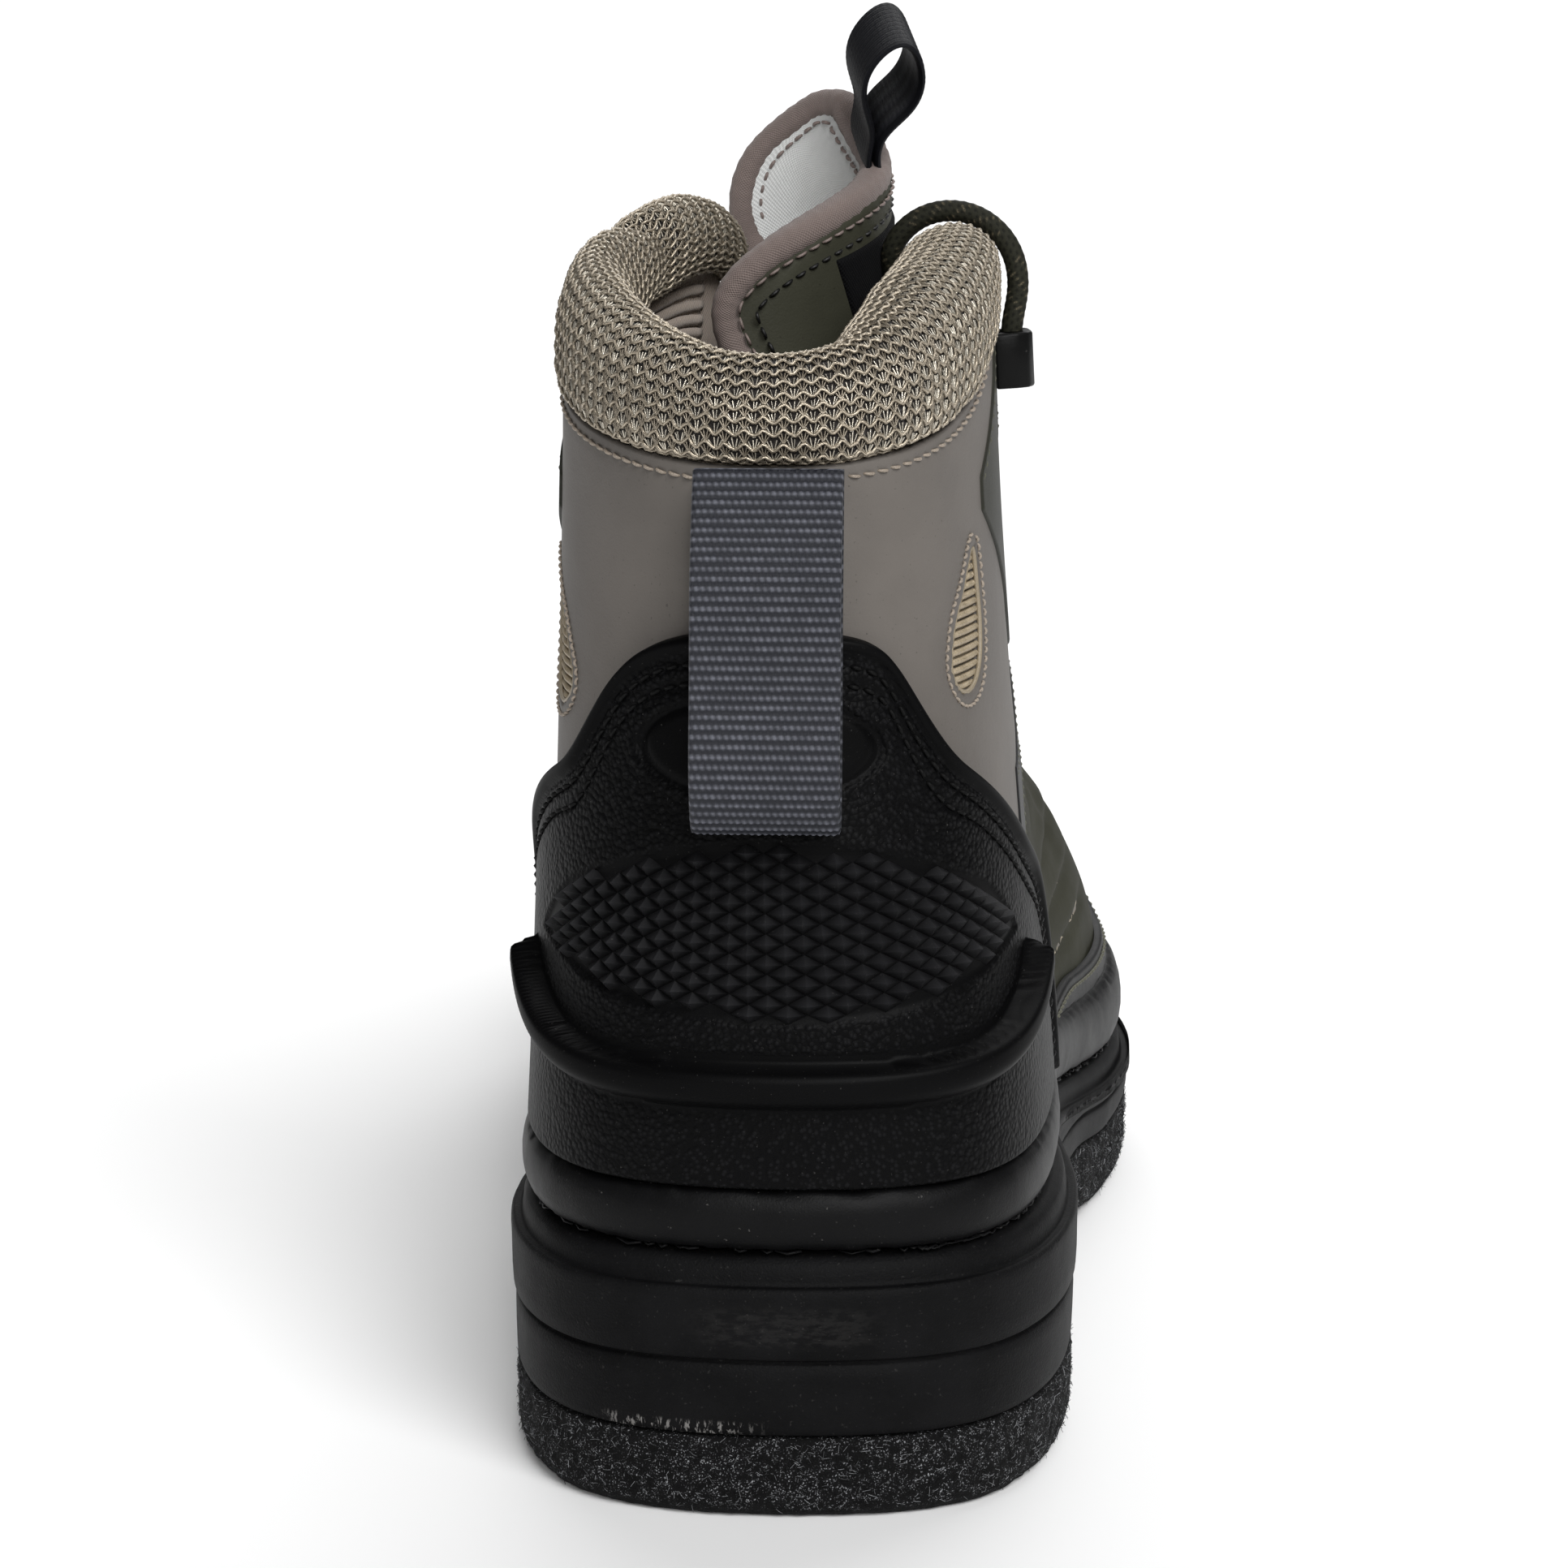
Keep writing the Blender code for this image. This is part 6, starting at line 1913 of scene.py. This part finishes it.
class BootColours(bpy.types.PropertyGroup):
    """Colours of the boot's finishes."""
    felt: colour_property("Felt", "Ground of the felt tread", (0.0045, 0.0045, 0.005))
    felt_fibre: colour_property("Felt fibre", "Light fibres in the felt", (0.44, 0.45, 0.47))
    rubber: colour_property("Rubber", "Midsole, rand and counter", (0.0036, 0.0036, 0.0039))
    scuff: colour_property("Scuff", "Chalky marks on the rubber", (0.30, 0.29, 0.28))
    footbed: colour_property("Footbed", "Cloth of the insole", (0.05, 0.05, 0.052))
    taupe: colour_property("Taupe", "Leather of the quarter", (0.122, 0.110, 0.099))
    olive: colour_property("Olive", "Leather of vamp and tongue", (0.041, 0.041, 0.028))
    dark_olive: colour_property("Dark olive", "Leather of the eyestay", (0.020, 0.020, 0.014))
    side_black: colour_property("Side black", "Leather of the side straps", (0.008, 0.008, 0.0085))
    patch: colour_property("Patch", "Patch on the tongue", (0.006, 0.006, 0.0065))
    binding: colour_property("Binding", "Tape round the tongue", (0.20, 0.155, 0.140))
    label: colour_property("Label", "Cloth inside the tongue", (0.80, 0.81, 0.80))
    lining: colour_property("Lining", "Cloth inside the shaft", (0.34, 0.275, 0.225))
    window_mesh: colour_property("Window mesh", "Ribbed mesh in the windows", (0.36, 0.29, 0.19))
    knit_yarn: colour_property("Knit yarn", "Yarn of the collar", (0.43, 0.37, 0.285))
    knit_clear: colour_property("Clear thread", "Clear threads in the collar's knit", (0.86, 0.79, 0.66))
    knit_ground: colour_property("Knit ground", "Cloth under the collar's knit", (0.024, 0.019, 0.017))
    thread: colour_property("Thread", "Stitching of the quarter", (0.30, 0.25, 0.20))
    black_thread: colour_property("Black thread", "Stitching of counter and tongue", (0.004, 0.004, 0.004))
    olive_thread: colour_property("Olive thread", "Stitching of the front", (0.075, 0.074, 0.050))
    webbing: colour_property("Webbing", "Yarn of the heel strap", (0.128, 0.132, 0.158))
    webbing_gap_shade: colour_property("Webbing gaps", "Shade between the strap's yarns", (0.006, 0.007, 0.012))
    ribbon: colour_property("Ribbon", "Loop on the tongue", (0.010, 0.0105, 0.014))
    lace: colour_property("Lace", "Ground of the lace", (0.014, 0.014, 0.009))
    lace_fleck: colour_property("Lace fleck", "Light yarns in the lace", (0.12, 0.10, 0.065))
    enamel: colour_property("Enamel", "Eyelets and hooks", (0.005, 0.005, 0.005))
    floor: colour_property("Floor", "Studio floor", (0.97, 0.97, 0.97))


class BOOT_OT_stage(bpy.types.Operator):
    """Floor, lights and camera"""
    bl_idname = "boot.stage"
    bl_label = "Stage"

    def execute(self, context):
        make_stage(context.scene.boot_sizes, context.scene.boot_colours)
        return {"FINISHED"}


class BOOT_OT_lace_run(bpy.types.Operator):
    """Free run of the lace over the collar"""
    bl_idname = "boot.lace_run"
    bl_label = "Lace to the hook"

    def execute(self, context):
        make_lace_run(context.scene.boot_colours)
        return {"FINISHED"}


class BOOT_OT_lacing(bpy.types.Operator):
    """Lace through the eyelets"""
    bl_idname = "boot.lacing"
    bl_label = "Lacing"

    def execute(self, context):
        make_lacing(context.scene.boot_colours)
        return {"FINISHED"}


class BOOT_OT_felt(bpy.types.Operator):
    """Needled felt tread with loose fibres"""
    bl_idname = "boot.felt"
    bl_label = "Felt tread"

    def execute(self, context):
        make_felt(context.scene.boot_sizes, context.scene.boot_colours)
        return {"FINISHED"}


class BOOT_OT_midsole(bpy.types.Operator):
    """Moulded rubber midsole in two tiers"""
    bl_idname = "boot.midsole"
    bl_label = "Midsole"

    def execute(self, context):
        make_midsole(context.scene.boot_colours)
        return {"FINISHED"}


class BOOT_OT_rand(bpy.types.Operator):
    """Rounded rubber band over the joint of upper and sole"""
    bl_idname = "boot.rand"
    bl_label = "Rand"

    def execute(self, context):
        make_rand(context.scene.boot_colours)
        return {"FINISHED"}


class BOOT_OT_insole(bpy.types.Operator):
    """Footbed inside the boot"""
    bl_idname = "boot.insole"
    bl_label = "Footbed"

    def execute(self, context):
        make_insole(context.scene.boot_colours)
        return {"FINISHED"}


class BOOT_OT_upper_base(bpy.types.Operator):
    """Inner body of the upper"""
    bl_idname = "boot.upper_base"
    bl_label = "Upper lining"

    def execute(self, context):
        make_upper_base(context.scene.boot_colours)
        return {"FINISHED"}


class BOOT_OT_quarter(bpy.types.Operator):
    """Taupe quarter with its windows and stitching"""
    bl_idname = "boot.quarter"
    bl_label = "Quarter"

    def execute(self, context):
        make_quarter(context.scene.boot_colours)
        return {"FINISHED"}


class BOOT_OT_front_panels(bpy.types.Operator):
    """Vamp, eyestay, toe guard and straps"""
    bl_idname = "boot.front_panels"
    bl_label = "Front panels"

    def execute(self, context):
        make_front_panels(context.scene.boot_colours)
        return {"FINISHED"}


class BOOT_OT_counter(bpy.types.Operator):
    """Moulded heel piece with studs and kick ledge"""
    bl_idname = "boot.counter"
    bl_label = "Heel counter"

    def execute(self, context):
        make_counter(context.scene.boot_colours)
        return {"FINISHED"}


class BOOT_OT_collar(bpy.types.Operator):
    """Padded roll with its knit"""
    bl_idname = "boot.collar"
    bl_label = "Collar"

    def execute(self, context):
        make_collar(context.scene.boot_sizes, context.scene.boot_colours)
        return {"FINISHED"}


class BOOT_OT_tongue(bpy.types.Operator):
    """Padded tongue with binding and stitching"""
    bl_idname = "boot.tongue"
    bl_label = "Tongue"

    def execute(self, context):
        make_tongue(context.scene.boot_colours)
        return {"FINISHED"}


class BOOT_OT_heel_strap(bpy.types.Operator):
    """Woven loop at the heel"""
    bl_idname = "boot.heel_strap"
    bl_label = "Heel strap"

    def execute(self, context):
        make_heel_strap(context.scene.boot_colours)
        return {"FINISHED"}


class BOOT_OT_tongue_ribbon(bpy.types.Operator):
    """Ribbon loop on the tongue"""
    bl_idname = "boot.tongue_ribbon"
    bl_label = "Tongue ribbon"

    def execute(self, context):
        make_tongue_ribbon(context.scene.boot_colours)
        return {"FINISHED"}


class BOOT_OT_eyelets(bpy.types.Operator):
    """Ring eyelets along the throat"""
    bl_idname = "boot.eyelets"
    bl_label = "Eyelets"

    def execute(self, context):
        make_eyelets(context.scene.boot_colours)
        return {"FINISHED"}


class BOOT_OT_hooks(bpy.types.Operator):
    """Lace hooks at the top of the shaft"""
    bl_idname = "boot.hooks"
    bl_label = "Hooks"

    def execute(self, context):
        make_hooks(context.scene.boot_colours)
        return {"FINISHED"}


OPERATORS = (
    BOOT_OT_stage,
    BOOT_OT_lace_run,
    BOOT_OT_lacing,
    BOOT_OT_felt,
    BOOT_OT_midsole,
    BOOT_OT_rand,
    BOOT_OT_insole,
    BOOT_OT_upper_base,
    BOOT_OT_quarter,
    BOOT_OT_front_panels,
    BOOT_OT_counter,
    BOOT_OT_collar,
    BOOT_OT_tongue,
    BOOT_OT_heel_strap,
    BOOT_OT_tongue_ribbon,
    BOOT_OT_eyelets,
    BOOT_OT_hooks,
)


class BOOT_PT_pieces(bpy.types.Panel):
    """Lists the boot's pieces, sizes and colours"""
    bl_label = "Wading Boot"
    bl_space_type = "VIEW_3D"
    bl_region_type = "UI"
    bl_category = "Boot"

    def draw(self, context):
        for kind in OPERATORS:
            self.layout.operator(kind.bl_idname)
        for group in (context.scene.boot_sizes, context.scene.boot_colours):
            for name in group.bl_rna.properties.keys():
                if name not in ("rna_type", "name"):
                    self.layout.prop(group, name)


CLASSES = (BootSizes, BootColours, *OPERATORS, BOOT_PT_pieces)


def register():
    for kind in CLASSES:
        bpy.utils.register_class(kind)
    bpy.types.Scene.boot_sizes = bpy.props.PointerProperty(type=BootSizes)
    bpy.types.Scene.boot_colours = bpy.props.PointerProperty(type=BootColours)


def unregister():
    del bpy.types.Scene.boot_colours
    del bpy.types.Scene.boot_sizes
    for kind in reversed(CLASSES):
        bpy.utils.unregister_class(kind)


def main():
    register()
    for kind in OPERATORS:
        getattr(bpy.ops.boot, kind.bl_idname.split(".")[1])()


if __name__ == "__main__":
    main()
